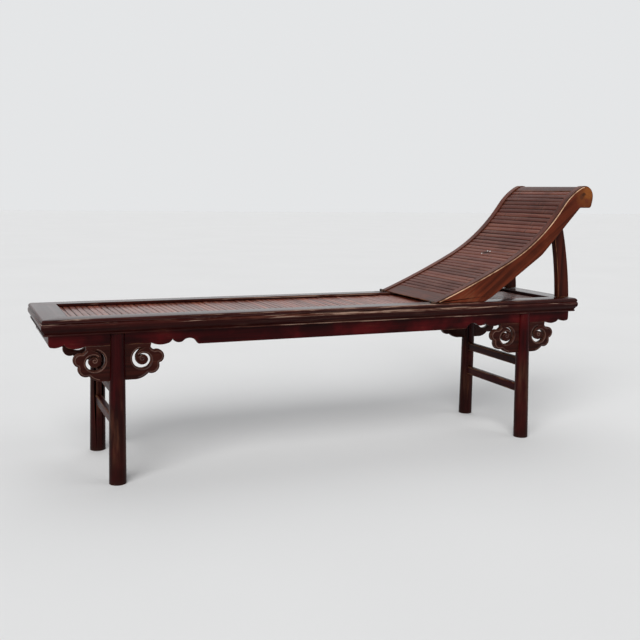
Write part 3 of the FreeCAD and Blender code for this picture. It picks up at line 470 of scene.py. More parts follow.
def dressed(node, body, slot, material, rounding=None, wear=None, segments=2, spared=None):
    """A copy of a CAD node with softened edges and a worn band beside them.

    Edges between two spared faces stay sharp, and a spared face gets no band.
    """
    wood = bpy.context.scene.daybed_wood
    rounding = wood.edge_round if rounding is None else rounding
    wear = wood.edge_wear if wear is None else wear
    keep = spared or (lambda face: False)
    work = merged_copy(node)
    marks = work.verts.layers.float.new("edge")
    corners = [
        edge
        for edge in work.edges
        if len(edge.link_faces) == 2
        and edge.calc_face_angle(0) > SHARP
        and not all(keep(face) for face in edge.link_faces)
    ]
    made = bmesh.ops.bevel(
        work,
        geom=corners,
        offset=rounding,
        segments=segments,
        profile=0.5,
        affect="EDGES",
        clamp_overlap=True,
    )
    softened = set(made["faces"])
    rest = [face for face in work.faces if face not in softened and not keep(face)]
    mark_worn(work, rest, marks, wear)
    mesh = bpy.data.meshes.new(f"dressed_{node}")
    work.to_mesh(mesh)
    work.free()
    mesh.shade_smooth()
    mesh.set_sharp_from_angle(angle=math.radians(34))
    piece = finished(f"dressed_{node}", mesh, body, slot, material)
    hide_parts(node)


def step(point, heading, distance):
    """The point that lies at a heading and a distance from another."""
    return point[0] + distance * math.cos(heading), point[1] + distance * math.sin(heading)


# The back's curved edge: headings up from +X, and radii that are positive to the left.

TIP_LIFT = 0.0035
TIP = (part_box("front_stile")[0].x, SEAT_TOP + TIP_LIFT)
TIP_HEADING = math.radians(21.7)
ROLL_RADIUS = 0.036
TURNS = (
    (2.979, math.radians(27.5)),
    (0.595, math.radians(55.0)),
    (-0.215, math.radians(29.0)),
    (-ROLL_RADIUS, math.radians(-180.0)),
)
CONTOUR = sum(
    abs(radius * (end - start))
    for (radius, end), start in zip(TURNS, (TIP_HEADING, *(turn[1] for turn in TURNS)))
)
ROLL = abs(TURNS[3][0] * (TURNS[3][1] - TURNS[2][1]))


def contour_at(distance, depth=0.0):
    """The point and heading at a distance along the back's edge, under it by a depth."""
    point = TIP
    heading = TIP_HEADING
    for radius, end in TURNS:
        run = abs(radius * (end - heading))
        if distance <= run or end == TURNS[-1][1]:
            break
        centre = step(point, heading + math.pi / 2, radius)
        point = step(centre, end - math.pi / 2, radius)
        distance -= run
        heading = end
    centre = step(point, heading + math.pi / 2, radius)
    turned = heading + distance / radius
    return step(centre, turned - math.pi / 2, radius + depth), turned


def contour_line(start, reach, steps, y=0, depth=0.0):
    """Evenly spaced points along the back's edge, at one Y and under the edge by a depth."""
    line = []
    for index in range(steps + 1):
        (x, z), _ = contour_at(start + reach * index / steps, depth)
        line.append((x, y, z))
    return line


# Node trees for what repeats.


def node_maker(tree):
    """A maker of nodes, from a type, its settings, and sockets by name or by number."""

    def node(kind, settings=None, **inputs):
        made = tree.nodes.new(kind)
        for key, value in (settings or {}).items():
            setattr(made, key, value)
        for key, value in inputs.items():
            numbered = key[1:].isdigit()
            socket = made.inputs[int(key[1:]) if numbered else key.replace("_", " ")]
            if isinstance(value, bpy.types.NodeSocket):
                tree.links.new(value, socket)
            else:
                socket.default_value = value
        return made.outputs

    return node


def new_tree(name, **inputs):
    """A geometry tree, its named inputs, and makers of its nodes and of its Math nodes."""
    tree = bpy.data.node_groups.new(name, "GeometryNodeTree")
    for label, kind in inputs.items():
        tree.interface.new_socket(
            label.replace("_", " "), in_out="INPUT", socket_type=f"NodeSocket{kind}"
        )
    node = node_maker(tree)

    def maths(operation, first, second=0.0):
        return node("ShaderNodeMath", {"operation": operation}, i0=first, i1=second)[0]

    return tree, tree.nodes.new("NodeGroupInput").outputs, node, maths


def put_out(tree, label, geometry):
    """Makes the geometry the tree's output."""
    tree.interface.new_socket(label, in_out="OUTPUT", socket_type="NodeSocketGeometry")
    output = tree.nodes.new("NodeGroupOutput")
    tree.links.new(geometry, output.inputs[0])


def slat_tree():
    """A tree that lays crowned slats across a path, each a little out of line."""
    tree, given, node, maths = new_tree(
        "slats_along_path",
        Path="Geometry",
        Half_Span="Float",
        Width="Float",
        Thickness="Float",
        Crown="Float",
        Ease="Float",
        Unevenness="Float",
        Count="Int",
        Seed="Int",
        Finish="Material",
    )

    def vector(x=0.0, y=0.0, z=0.0):
        return node("ShaderNodeCombineXYZ", X=x, Y=y, Z=z)[0]

    def chance(low, high, salt):
        seed = maths("ADD", given["Seed"], salt)
        number = {"data_type": "FLOAT"}
        return node("FunctionNodeRandomValue", number, i2=low, i3=high, i8=seed)[1]

    def power(value, exponent):
        return maths("POWER", maths("ABSOLUTE", value), exponent)

    def stored(geometry, domain, name, value):
        kind = {"data_type": "FLOAT", "domain": domain}
        inputs = {"Geometry": geometry, "Name": name, "Value": value}
        return node("GeometryNodeStoreNamedAttribute", kind, **inputs)[0]

    size = vector(1.0, maths("MULTIPLY", given["Half Span"], 2.0), given["Thickness"])
    cube = node("GeometryNodeMeshCube", Size=size, Vertices_X=7, Vertices_Y=15, Vertices_Z=2)[0]
    spot = node("GeometryNodeInputPosition")[0]
    x, y, z = node("ShaderNodeSeparateXYZ", i0=spot)[0:3]
    across = maths("MULTIPLY", x, 2.0)
    side = maths("SIGN", across)
    spread = maths("MULTIPLY", side, power(across, 0.5))
    half_width = maths("MULTIPLY", given["Width"], 0.5)
    crowned = maths("MULTIPLY", given["Crown"], power(spread, 2.0))
    eased = maths("MULTIPLY", given["Ease"], power(spread, 9.0))
    drop = maths("ADD", crowned, eased)
    upper = maths("GREATER_THAN", z, 0.0)
    lowered = maths("SUBTRACT", z, maths("MULTIPLY", drop, upper))
    lowered = maths("SUBTRACT", lowered, maths("MULTIPLY", given["Thickness"], 0.5))
    shaped = vector(maths("MULTIPLY", spread, half_width), y, lowered)
    # The rim attribute marks a slat's long edges and its underside, where the bamboo finish paints
    # shade.
    near_edge = power(across, 8.0)
    rim = maths("MAXIMUM", near_edge, maths("SUBTRACT", 1.0, upper))
    cube = stored(cube, "POINT", "rim", rim)
    slat = node("GeometryNodeSetPosition", Geometry=cube, Position=shaped)[0]

    path = node("GeometryNodeMeshToCurve", Mesh=given["Path"])[0]
    path = node("GeometryNodeResampleCurve", Curve=path, Count=given["Count"])[0]
    tangent = node("GeometryNodeInputTangent")[0]
    facing = node("FunctionNodeAlignRotationToVector", {"axis": "X"}, Vector=tangent)[0]
    tilt = vector(chance(-0.004, 0.004, 1), chance(-0.02, 0.02, 2), chance(-0.0038, 0.0038, 3))
    own_axes = {"rotation_space": "LOCAL"}
    facing = node("FunctionNodeRotateRotation", own_axes, Rotation=facing, Rotate_By=tilt)[0]
    wide = vector(chance(0.95, 1.03, 4), 1.0, 1.0)
    laid = node(
        "GeometryNodeInstanceOnPoints", Points=path, Instance=slat, Rotation=facing, Scale=wide
    )[0]
    lift = maths("MULTIPLY", given["Unevenness"], chance(-1.0, 0.4, 5))
    lifted = vector(z=lift)
    moved = node("GeometryNodeTranslateInstances", Instances=laid, Translation=lifted)[0]
    toned = stored(moved, "INSTANCE", "tone", chance(0.0, 1.0, 6))
    real = node("GeometryNodeRealizeInstances", Geometry=toned)[0]
    bowed = node("ShaderNodeTexNoise", Vector=spot, Scale=7.0, Detail=1.0)[0]
    bow = maths("MULTIPLY", maths("SUBTRACT", bowed, 0.6), given["Unevenness"])
    real = node("GeometryNodeSetPosition", Geometry=real, Offset=vector(z=bow))[0]
    done = node("GeometryNodeSetMaterial", Geometry=real, Material=given["Finish"])[0]
    put_out(tree, "Slats", done)
    return tree


def screw_tree():
    """A tree that sets a slotted screw head on each point."""
    tree, given, node, maths = new_tree(
        "slotted_screws",
        Points="Geometry",
        Radius="Float",
        Rise="Float",
        Flip="Float",
        Seed="Int",
        Finish="Material",
        Slot_Finish="Material",
    )

    def coated(geometry, material):
        return node("GeometryNodeSetMaterial", Geometry=geometry, Material=material)[0]

    rise = given["Rise"]
    radius = given["Radius"]
    depth = maths("MULTIPLY", rise, 2.0)
    head = node("GeometryNodeMeshCylinder", Vertices=20, Radius=radius, Depth=depth)[0]
    head = coated(head, given["Finish"])
    long = maths("MULTIPLY", radius, 1.8)
    wide = maths("MULTIPLY", long, 0.16)
    high = maths("MULTIPLY", rise, 2.4)
    slot_size = node("ShaderNodeCombineXYZ", X=long, Y=wide, Z=high)[0]
    slot = coated(node("GeometryNodeMeshCube", Size=slot_size)[0], given["Slot Finish"])
    both = tree.nodes.new("GeometryNodeJoinGeometry")
    tree.links.new(slot, both.inputs[0])
    tree.links.new(head, both.inputs[0])
    number = {"data_type": "FLOAT"}
    spin = node("FunctionNodeRandomValue", number, i2=0.0, i3=3.1, i8=given["Seed"])[1]
    turn = node("ShaderNodeCombineXYZ", X=given["Flip"], Z=spin)[0]
    points = node("GeometryNodeMeshToPoints", Mesh=given["Points"])[0]
    placed = node(
        "GeometryNodeInstanceOnPoints", Points=points, Instance=both.outputs[0], Rotation=turn
    )[0]
    put_out(tree, "Screws", node("GeometryNodeRealizeInstances", Geometry=placed)[0])
    return tree


def grown(name, tree, mesh, **values):
    """The plain mesh that a node tree makes from an input mesh and its named inputs."""
    carrier = linked(f"{name}_carrier", mesh)
    modifier = carrier.modifiers.new("grow", "NODES")
    modifier.node_group = tree
    for item in tree.interface.items_tree:
        if item.item_type == "SOCKET" and item.in_out == "INPUT":
            label = item.name.replace(" ", "_").lower()
            if label in values:
                modifier[item.identifier] = values[label]
    result = evaluated(carrier)
    result.name = name
    return result


def path_mesh(points):
    mesh = bpy.data.meshes.new("path")
    mesh.from_pydata(points, [(i, i + 1) for i in range(len(points) - 1)], [])
    return mesh


def laid_slats(part, body, points, count, width, finish):
    """All the slats of the seat or the back as one piece."""
    slats = bpy.context.scene.daybed_slats
    node = f"{part}_slats"
    name = f"{part}_bamboo_slats"
    low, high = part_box(node)
    mesh = grown(
        name,
        slat_tree(),
        path_mesh(points),
        count=count,
        half_span=(high.y - low.y) / 2,
        width=width,
        thickness=SLAT_THICKNESS,
        crown=slats.crown,
        ease=slats.ease,
        unevenness=slats.uneven,
        seed=slats.seed,
        finish=finish,
    )
    mesh.set_sharp_from_angle(angle=math.radians(38))
    piece = finished(name, mesh, body, f"{part}_bamboo", finish)
    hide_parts(node)


# Carving.


def arc_points(start, middle, end, chord=math.radians(6)):
    """Points along the arc through three points, without the first."""
    a, b, c = Vector(start), Vector(middle), Vector(end)
    turn = 2 * ((b - a).x * (c - b).y - (b - a).y * (c - b).x)
    if abs(turn) < 1e-12:
        return [tuple(c)]
    squares = (a.length_squared, b.length_squared, c.length_squared)
    rises = (b.y - c.y, c.y - a.y, a.y - b.y)
    runs = (c.x - b.x, a.x - c.x, b.x - a.x)

    def weighed(values, weights):
        return sum(value * weight for value, weight in zip(values, weights))

    middle = Vector((weighed(squares, rises), weighed(squares, runs)))
    centre = middle / (2 * weighed((a.x, b.x, c.x), rises))
    radius = (a - centre).length
    first = math.atan2(a.y - centre.y, a.x - centre.x)
    last = math.atan2(c.y - centre.y, c.x - centre.x)
    sweep = last - first
    if turn > 0 and sweep < 0:
        sweep += 2 * math.pi
    if turn < 0 and sweep > 0:
        sweep -= 2 * math.pi
    count = max(2, math.ceil(abs(sweep) / chord))
    return [step(centre, first + sweep * i / count, radius) for i in range(1, count + 1)]


# Millimetres from the leg's middle and the board's top. A row of CLOUD is a point, or the middle
# and the end of an arc. A row of VOLUTE is an angle in degrees, the radius of the spiral slot's
# outer edge and the slot's width.

CLOUD = (
    ((95, 0),),
    ((93, -11),),
    ((98, -17), (104, -20.5)),
    ((129.5, -31), (124, -55.5)),
    ((117, -58.5),),
    ((110.5, -82), (86, -86)),
    ((71, -97), (52, -102.5)),
)
VOLUTE = (
    (88, 28.4, 0.0),
    (130, 28.7, 6.5),
    (180, 28.7, 9.5),
    (250, 28.7, 10.0),
    (300, 28.1, 9.5),
    (340, 25.5, 8.0),
    (380, 20.1, 6.0),
    (420, 15.5, 5.0),
    (460, 13.5, 4.0),
    (490, 12.6, 2.5),
    (512, 12.1, 0.0),
)
VOLUTE_MIDDLE = (69, -42.75)
CURL_POINTS = 61
CURL_ANGLE = 470
CURL_TURN = 7
CURL_RADIUS = 8.2
CURL_SHRINK = 0.11


def cloud_side(scale):
    """One side of the cloud outline, from its top middle to its bottom middle."""
    points = [(0.0, 0.0)]
    for row in CLOUD:
        scaled = [(x * scale, z) for x, z in row]
        if len(scaled) == 1:
            points.append(scaled[0])
        else:
            points.extend(arc_points(points[-1], *scaled))
    return points


def volute_point(scale, angle, reach):
    """A point about the volute's middle. A scale below zero mirrors it."""
    x, z = step((0, 0), math.radians(angle), reach)
    return VOLUTE_MIDDLE[0] * scale + math.copysign(1, scale) * x, VOLUTE_MIDDLE[1] + z


def volute_sides(scale):
    """The outer and inner edges of the spiral slot."""
    outer, inner = [], []
    for (angle, radius, slot), (end_angle, end_radius, end_slot) in zip(VOLUTE, VOLUTE[1:]):
        cuts = math.ceil((end_angle - angle) / 6)
        for cut in range(cuts):
            part = cut / cuts
            turned = angle + (end_angle - angle) * part
            edge = radius + (end_radius - radius) * part
            wide = slot + (end_slot - slot) * part
            outer.append(volute_point(scale, turned, edge))
            inner.append(volute_point(scale, turned, edge - wide))
    angle, radius, _ = VOLUTE[-1]
    outer.append(volute_point(scale, angle, radius))
    return outer, inner


def volute_curl(scale):
    """The carved line that winds on from the slot's end to the spiral's heart."""
    return [
        volute_point(scale, CURL_ANGLE + CURL_TURN * index, CURL_RADIUS - CURL_SHRINK * index)
        for index in range(CURL_POINTS)
    ]


def drawn(name, lines, closed, **settings):
    """The plain mesh of a curve through lists of points."""
    curve = bpy.data.curves.new(name, "CURVE")
    curve.bevel_resolution = 2
    for key, value in settings.items():
        setattr(curve, key, value)
    for line in lines:
        spline = curve.splines.new("POLY")
        spline.points.add(len(line) - 1)
        for knot, point in zip(spline.points, line):
            knot.co = (*point, 1)
        spline.use_cyclic_u = closed
    return evaluated(linked(name, curve))


def carved_board(name, outlines, low_y, thickness, round_over):
    """A flat board from outlines in X and Z, its edges rounded over and its holes open."""
    mesh = drawn(
        name,
        [[(x, z, 0) for x, z in outline] for outline in outlines],
        closed=True,
        dimensions="2D",
        fill_mode="BOTH",
        extrude=thickness / 2 - round_over,
        bevel_depth=round_over,
        offset=-round_over,
    )
    middle = low_y + thickness / 2
    upright = Matrix.Rotation(math.pi / 2, 4, "X")
    mesh.transform(Matrix.Translation((0, middle, 0)) @ upright)
    work = bmesh.new()
    work.from_mesh(mesh)
    bmesh.ops.remove_doubles(work, verts=work.verts, dist=1e-5)
    bmesh.ops.recalc_face_normals(work, faces=work.faces)
    marks = work.verts.layers.float.new("edge")
    for vert in work.verts:
        depth = thickness / 2 - abs(vert.co.y - middle)
        vert[marks] = 0.0 if depth < 1e-5 else 1.0
    work.to_mesh(mesh)
    work.free()
    return mesh


def tube(points, radius, level, squash):
    """A bead that follows points, with closed ends, flattened towards a level in Y."""
    settings = {"dimensions": "3D", "bevel_depth": radius, "use_fill_caps": True}
    mesh = drawn("bead", [points], closed=False, **settings)
    for vert in mesh.vertices:
        vert.co.y = level + (vert.co.y - level) * squash
    return mesh


def joined(name, meshes):
    """One mesh from several."""
    work = bmesh.new()
    for mesh in meshes:
        work.from_mesh(mesh)
    result = bpy.data.meshes.new(name)
    work.to_mesh(result)
    work.free()
    result.shade_smooth()
    return result


def beside(points, distance):
    """Points moved to the left of their run by a distance."""
    moved = []
    for index, point in enumerate(points):
        before = Vector(points[max(index - 1, 0)])
        after = Vector(points[min(index + 1, len(points) - 1)])
        along = (after - before).normalized()
        moved.append((point[0] - along.y * distance, point[1] + along.x * distance))
    return moved


# Operators.


class PieceOperator:
    """What every operator of the panel shares."""

    bl_options = {"REGISTER", "UNDO"}

    def execute(self, context):
        self.make(context.scene)
        return {"FINISHED"}


class DAYBED_OT_stage(PieceOperator, bpy.types.Operator):
    """Sets the pale floor, the soft lights and the camera"""

    bl_idname = "daybed.stage"
    bl_label = "Stage"

    def make(self, scene):
        camera = bpy.data.cameras.new("camera")
        camera.lens = CAMERA_LENS
        camera.sensor_width = 36.0
        camera.clip_end = 90.0
        viewer = linked("camera", camera)
        level = Vector((math.cos(CAMERA_YAW), math.sin(CAMERA_YAW), 0))
        forward = Vector((-math.sin(CAMERA_YAW), math.cos(CAMERA_YAW), 0))
        ahead = forward * math.cos(CAMERA_PITCH) - Vector((0, 0, math.sin(CAMERA_PITCH)))
        up = level.cross(ahead)
        right = math.cos(CAMERA_ROLL) * level + math.sin(CAMERA_ROLL) * up
        top = math.cos(CAMERA_ROLL) * up - math.sin(CAMERA_ROLL) * level
        turn = Matrix((right, top, -ahead)).transposed().to_4x4()
        viewer.matrix_world = Matrix.Translation(CAMERA_PLACE) @ turn
        scene.camera = viewer

        floor = Finish("pale_floor")
        cloudy = floor.noise((0.9, 0.9, 0.9), detail=2)
        floor.surface(
            Base_Color=floor.mix(cloudy, (0.735, 0.735, 0.73), (0.775, 0.775, 0.77)),
            Roughness=0.9,
            Specular_IOR_Level=0.1,
        )
        sheet = bpy.data.meshes.new("floor")
        signs = ((-1, -1), (1, -1), (1, 1), (-1, 1))
        corners = [(x * FLOOR_REACH, y * FLOOR_REACH, 0) for x, y in signs]
        sheet.from_pydata(corners, [], [(0, 1, 2, 3)])
        sheet.materials.append(floor.material)
        linked("floor", sheet)

        for name, direction, angle, power in (
            ("key_light", (0.5, 0.72, -0.62), 46, 2.6),
            ("fill_light", (-0.75, 0.5, -0.5), 50, 0.5),
            ("back_light", (-0.1, -0.6, -0.9), 60, 0.7),
        ):
            lamp = bpy.data.lights.new(name, "SUN")
            lamp.angle = math.radians(angle)
            lamp.energy = power
            holder = linked(name, lamp)
            holder.rotation_euler = Vector(direction).to_track_quat("-Z", "Y").to_euler()

        world = bpy.data.worlds.new("studio")
        scene.world = world
        world.use_nodes = True
        world.node_tree.nodes.clear()
        node = node_maker(world.node_tree)
        most = {"operation": "MAXIMUM"}
        rays = node("ShaderNodeLightPath")
        seen = node("ShaderNodeMath", most, i0=rays["Is Camera Ray"], i1=rays["Is Glossy Ray"])[0]
        seen = node("ShaderNodeMath", most, i0=seen, i1=rays["Is Transmission Ray"])[0]
        soft = node("ShaderNodeBackground", Color=(0.86, 0.88, 0.92, 1), Strength=0.3)[0]
        plain = node("ShaderNodeBackground", Color=(0.78, 0.79, 0.8, 1), Strength=1.0)[0]
        either = node("ShaderNodeMixShader", i0=seen, i1=soft, i2=plain)[0]
        node("ShaderNodeOutputWorld", Surface=either)
        scene.view_settings.view_transform = "Standard"


def rail_tone(finish, body):
    """The rails' mouldings: bare streaks and pale painted glints on the arris, the round and the
    bead, dark between.
    """
    worn = (0.1, 0.036, 0.023)
    # The pale streaks are partly bare wood and partly a painted highlight, the glints along the
    # mouldings.
    pale = (0.4, 0.27, 0.2)
    below = SEAT_TOP - finish.axis(2)
    height = finish.axis(2) - RAIL_BOTTOM
    half = RAIL_HIGH.x
    middle = abs(finish.axis(0) - half * 0.08).between(half * 0.75, half * 0.2, -0.04, 0.1)
    scuffs = finish.noise((0.07, 0.07, 0.004), detail=6, rough=0.72) + middle
    lines = finish.noise((0.11, 0.11, 0.0034), detail=5, rough=0.62) + middle * 0.7
    arris = below.between(0.0002, 0.0012) * below.between(0.0056, 0.0042)
    round_band = below.between(0.0115, 0.0135) * below.between(0.022, 0.0185)
    bead = height.between(0.0034, 0.0022)
    ribs = arris + round_band + bead
    quiet = 1 - ribs
    body = finish.mix(quiet * 0.5 * below.between(0.0002, 0.001), body, (0.012, 0.0015, 0.0015))
    body = finish.mix(ribs * scuffs.between(0.47, 0.62) * 0.5, body, worn)
    body = finish.mix(quiet * lines.between(0.62, 0.7) * 0.2, body, worn)
    return finish.mix((ribs + 0.04) * lines.between(0.56, 0.64) * 0.58, body, pale)


def rail_polish(finish):
    """The rails' tops are polished by use, and their sides are dull."""
    return finish.axis(2).between(SEAT_TOP - 0.003, SEAT_TOP - 0.0004, 0.04, 0.5)


class DAYBED_OT_seat_frame(PieceOperator, bpy.types.Operator):
    """Dresses the moulded rails, the braces and the batten"""

    bl_idname = "daybed.seat_frame"
    bl_label = "Seat Frame"

    def make(self, scene):
        colour = scene.daybed_wood.rail_tint
        look = {"wear": 0.1, "rough": 0.26, "tone": rail_tone, "polish": rail_polish}
        long_wood = lacquered_wood("rail_lacquer_long", colour, 0, **look)
        end_wood = lacquered_wood("rail_lacquer_end", colour, 1, **look)
        hidden = shade(colour, 1.5)
        plain = lacquered_wood("plain_wood_along", hidden, 0, wear=0.3, rough=0.55)
        plain_across = lacquered_wood("plain_wood_across", hidden, 1, wear=0.3, rough=0.55)
        for side in SIDES:
            dressed(f"{side}_rail", "bed", "rail_wood", long_wood, rounding=0.0007)
        for end in ENDS:
            dressed(f"{end}_end_rail", "bed", "rail_wood", end_wood, rounding=0.0007)
        dressed("seat_batten", "bed", "plain_wood", plain)
        for name in ("foot", "middle", "head"):
            dressed(f"{name}_seat_brace", "bed", "plain_wood", plain_across)


class DAYBED_OT_seat_slats(PieceOperator, bpy.types.Operator):
    """Lays the seat's bamboo slats"""

    bl_idname = "daybed.seat_slats"
    bl_label = "Seat Slats"

    def make(self, scene):
        low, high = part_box("seat_slats")
        ends = low.x + SEAT_SLATS_INSET, high.x - SEAT_SLATS_INSET
        points = [(x, 0, high.z) for x in ends]
        # The seat's bamboo is brightened 1.2 times, a painted highlight standing in for the glare
        # on its top.
        finish = bamboo("seat_bamboo", 0.24, 0.45, 1.2, 0.65)
        laid_slats("seat", "bed", points, SEAT_SLATS, SEAT_SLAT_WIDTH, finish)


class DAYBED_OT_skirt(PieceOperator, bpy.types.Operator):
    """Carves the aprons and the pierced cloud spandrels"""

    bl_idname = "daybed.skirt"
    bl_label = "Skirt"

    def make(self, scene):
        wood = scene.daybed_wood
        trim = scene.daybed_trim
        # The aprons' high glow makes their lighter patches partly a painted highlight.
        apron = lacquered_wood("apron_lacquer", wood.leg_tint, 0, wear=0.2, rough=0.3, glow=5.0)
        end_apron = lacquered_wood("end_apron_lacquer", wood.leg_tint, 1, wear=0.25, rough=0.3)
        rubbed = (0.12, 0.05, 0.032)
        carving = lacquered_wood(
            "carving_wood", wood.carving_tint, 0, wear=0.34, rough=0.34, edge_tint=rubbed
        )
        bead = worn_wood("carved_bead", 0, (0.085, 0.035, 0.022), wood.carving_tint)
        for side in SIDES:
            dressed(f"{side}_apron", "bed", "leg_wood", apron, rounding=0.0012)
        for end in ENDS:
            dressed(f"{end}_end_apron", "bed", "leg_wood", end_apron)
        for side, sign_y in SIDES.items():
            for end, sign_x in ENDS.items():
                self.spandrel(f"{side}_{end}_spandrel", sign_x, sign_y, carving, bead, trim)

    def spandrel(self, node, sign_x, sign_y, carving, bead, trim):
        low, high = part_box(node)
        leg_x = BED_MIDDLE + LEG_REACH * sign_x
        top = high.z

        def placed(points):
            return [(leg_x + x / 1000, top + z / 1000) for x, z in points]

        right = 1.0 if sign_x < 0 else OUTER_LOBE
        left = -1.0 if sign_x > 0 else -OUTER_LOBE
        outline = placed(cloud_side(right) + cloud_side(left)[:0:-1])
        slots = [volute_sides(scale) for scale in (right, left)]
        holes = [placed(outer + inner[:0:-1]) for outer, inner in slots]
        mesh = carved_board(node, [outline] + holes, low.y, high.y - low.y, CLOUD_ROUND)
        piece = finished(f"carved_{node}", mesh, "bed", "leg_wood", carving)
        piece.data.shade_smooth()
        piece.data.set_sharp_from_angle(angle=math.radians(40))
        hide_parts(node)
        face = low.y if sign_y < 0 else high.y
        inset = trim.bead_inset * 1000
        beads = []
        for scale, (outer, _) in zip((right, left), slots):
            away = -math.copysign(inset, scale)
            rim = cloud_side(scale)[2:-1]
            for run in (beside(rim, away), beside(outer[2:-3], away * 0.8), volute_curl(scale)):
                line = [(x, face, z) for x, z in placed(run)]
                beads.append(tube(line, trim.bead_radius, face, 0.55))
        finished(f"bead_{node}", joined(f"bead_{node}", beads), "bed", "leg_wood", bead)


def leg_tone(finish, body):
    """The legs' lacquer is rubbed brown at mid height and dark near the floor."""
    height = finish.axis(2)
    rubs = finish.noise((0.02, 0.02, 0.16), detail=5, rough=0.6)
    middle = height.between(0.03, 0.12) * height.between(0.33, 0.2)
    body = finish.mix(height.between(0.3, 0.12) * 0.5, body, (0.014, 0.0045, 0.003))
    body = finish.mix(middle * rubs.between(0.45, 0.7) * 0.55, body, (0.085, 0.03, 0.016))
    return finish.mix(height.between(0.02, 0.0) * 0.6, body, (0.02, 0.008, 0.006))


class DAYBED_OT_legs(PieceOperator, bpy.types.Operator):
    """Dresses the legs and their stretchers"""

    bl_idname = "daybed.legs"
    bl_label = "Legs"

    def make(self, scene):
        colour = scene.daybed_wood.leg_tint
        # The legs' high glow makes their lighter patches partly a painted highlight.
        upright = lacquered_wood(
            "leg_lacquer", colour, 2, wear=0.3, rough=0.3, tone=leg_tone, glow=3.6
        )
        across = lacquered_wood("stretcher_lacquer", colour, 1, wear=0.35, rough=0.34)
        for side in SIDES:
            for end in ENDS:
                dressed(f"{side}_{end}_leg", "bed", "leg_wood", upright, rounding=0.0012)
        for end in ENDS:
            for level in ("lower", "upper"):
                dressed(f"{end}_{level}_stretcher", "bed", "leg_wood", across)


def scroll_tone(finish, body):
    """The scroll's bare end, orange brown with a dark heart and a reddish knot."""
    centre = scroll_centre()
    swirl = finish.noise((0.02, 0.02, 0.02), detail=4, rough=0.6)
    rings = finish.noise((0.05, 0.05, 0.004), (0, 0.5, 0), 4, 0.6, 1.2)

    def spot(x, z, reach, fade):
        away = finish.distance((centre[0] + x, centre[1] + z)) + swirl * 0.012
        return away.between(reach + fade, reach)

    bare = spot(0.008, 0.004, 0.03, 0.03)
    body = finish.mix(bare * 0.85, body, (0.125, 0.034, 0.009))
    body = finish.mix(spot(0.016, 0.014, 0.018, 0.02) * 0.75, body, (0.22, 0.068, 0.014))
    body = finish.mix(rings.between(0.5, 0.62) * bare * 0.4, body, (0.12, 0.036, 0.012))
    body = finish.mix(spot(0.01, -0.016, 0.011, 0.008) * 0.6, body, (0.09, 0.018, 0.009))
    body = finish.mix(spot(-0.011, -0.001, 0.011, 0.007) * 0.6, body, (0.05, 0.017, 0.009))
    return finish.mix(spot(-0.003, 0.008, 0.009, 0.006) * 0.8, body, (0.028, 0.01, 0.005))


def scroll_centre():
    (x, z), heading = contour_at(CONTOUR - ROLL)
    return step((x, z), heading - math.pi / 2, ROLL_RADIUS)


class DAYBED_OT_back_frame(PieceOperator, bpy.types.Operator):
    """Dresses the curved stiles, the cross rails and the crest"""

    bl_idname = "daybed.back_frame"
    bl_label = "Back Frame"

    def make(self, scene):
        wood = scene.daybed_wood
        trim = scene.daybed_trim
        radius = trim.bead_radius
        lean = -math.radians(38)
        # A dark edge tint for the stiles: partly lacquer left on the edges, partly painted shade
        # for the shadow line along their lower edge.
        rim = (0.045, 0.014, 0.007)
        stile = lacquered_wood("stile_wood", wood.back_tint, 0, lean, 0.62, 0.3, scroll_tone, rim)
        across = lacquered_wood("crest_wood", shade(wood.back_tint, 0.75), 1, wear=0.4, rough=0.28)
        bead = worn_wood("stile_bead", 0, (0.66, 0.4, 0.24), wood.worn_tint)
        # A thin dark tube beside the bead, painted shade standing in for the shadow in the groove
        # there.
        groove = worn_wood("stile_groove", 0, (0.03, 0.01, 0.005), (0.02, 0.008, 0.005))
        for side, sign in SIDES.items():
            node = f"{side}_stile"

            def inward(face, sign=sign):
                depths = [vert.co.y for vert in face.verts]
                return face.normal.y * sign < -0.99 or 0.001 < max(depths) - min(depths) < 0.02

            softening = {"rounding": 0.0022, "segments": 3, "spared": inward}
            dressed(node, "backrest", "back_wood", stile, **softening)
            low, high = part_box(node)
            face = low.y if sign < 0 else high.y
            reach = CONTOUR - ROLL * BARE_ROLL - BEAD_START
            # The second strip is the dark tube of painted shade beside the bead.
            for name, inset, thick, finish in (
                ("bead", trim.bead_inset, radius, bead),
                ("groove", trim.bead_inset - radius * 1.8, radius * 0.6, groove),
            ):
                line = contour_line(BEAD_START, reach, 160, face, inset)
                strip = joined(f"{name}_{node}", [tube(line, thick, face, 0.8)])
                finished(f"{name}_{node}", strip, "backrest", "back_wood", finish)
        for node in ("back_lower_rail", "back_middle_rail"):
            dressed(node, "backrest", "plain_wood", across)
        dressed("back_bottom_board", "backrest", "back_wood", across)
        dressed("crest_roll", "backrest", "back_wood", across)


class DAYBED_OT_back_slats(PieceOperator, bpy.types.Operator):
    """Lays the back's bamboo slats along its curve"""

    bl_idname = "daybed.back_slats"
    bl_label = "Back Slats"

    def make(self, scene):
        run = CONTOUR - ROLL - BACK_SLATS_STOP - BACK_SLATS_START
        pitch = run / BACK_SLATS
        start = BACK_SLATS_START + pitch / 2
        points = contour_line(start, run - pitch, 200, depth=BACK_SLATS_DEPTH)
        low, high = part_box("repair_nails")
        nails = ((low.x + high.x) / 2, (low.z + high.z) / 2)
        finish = bamboo("back_bamboo", 0.34, 0.04, 0.74, 0.4, nails)
        laid_slats("back", "backrest", points, BACK_SLATS, BACK_SLAT_WIDTH, finish)


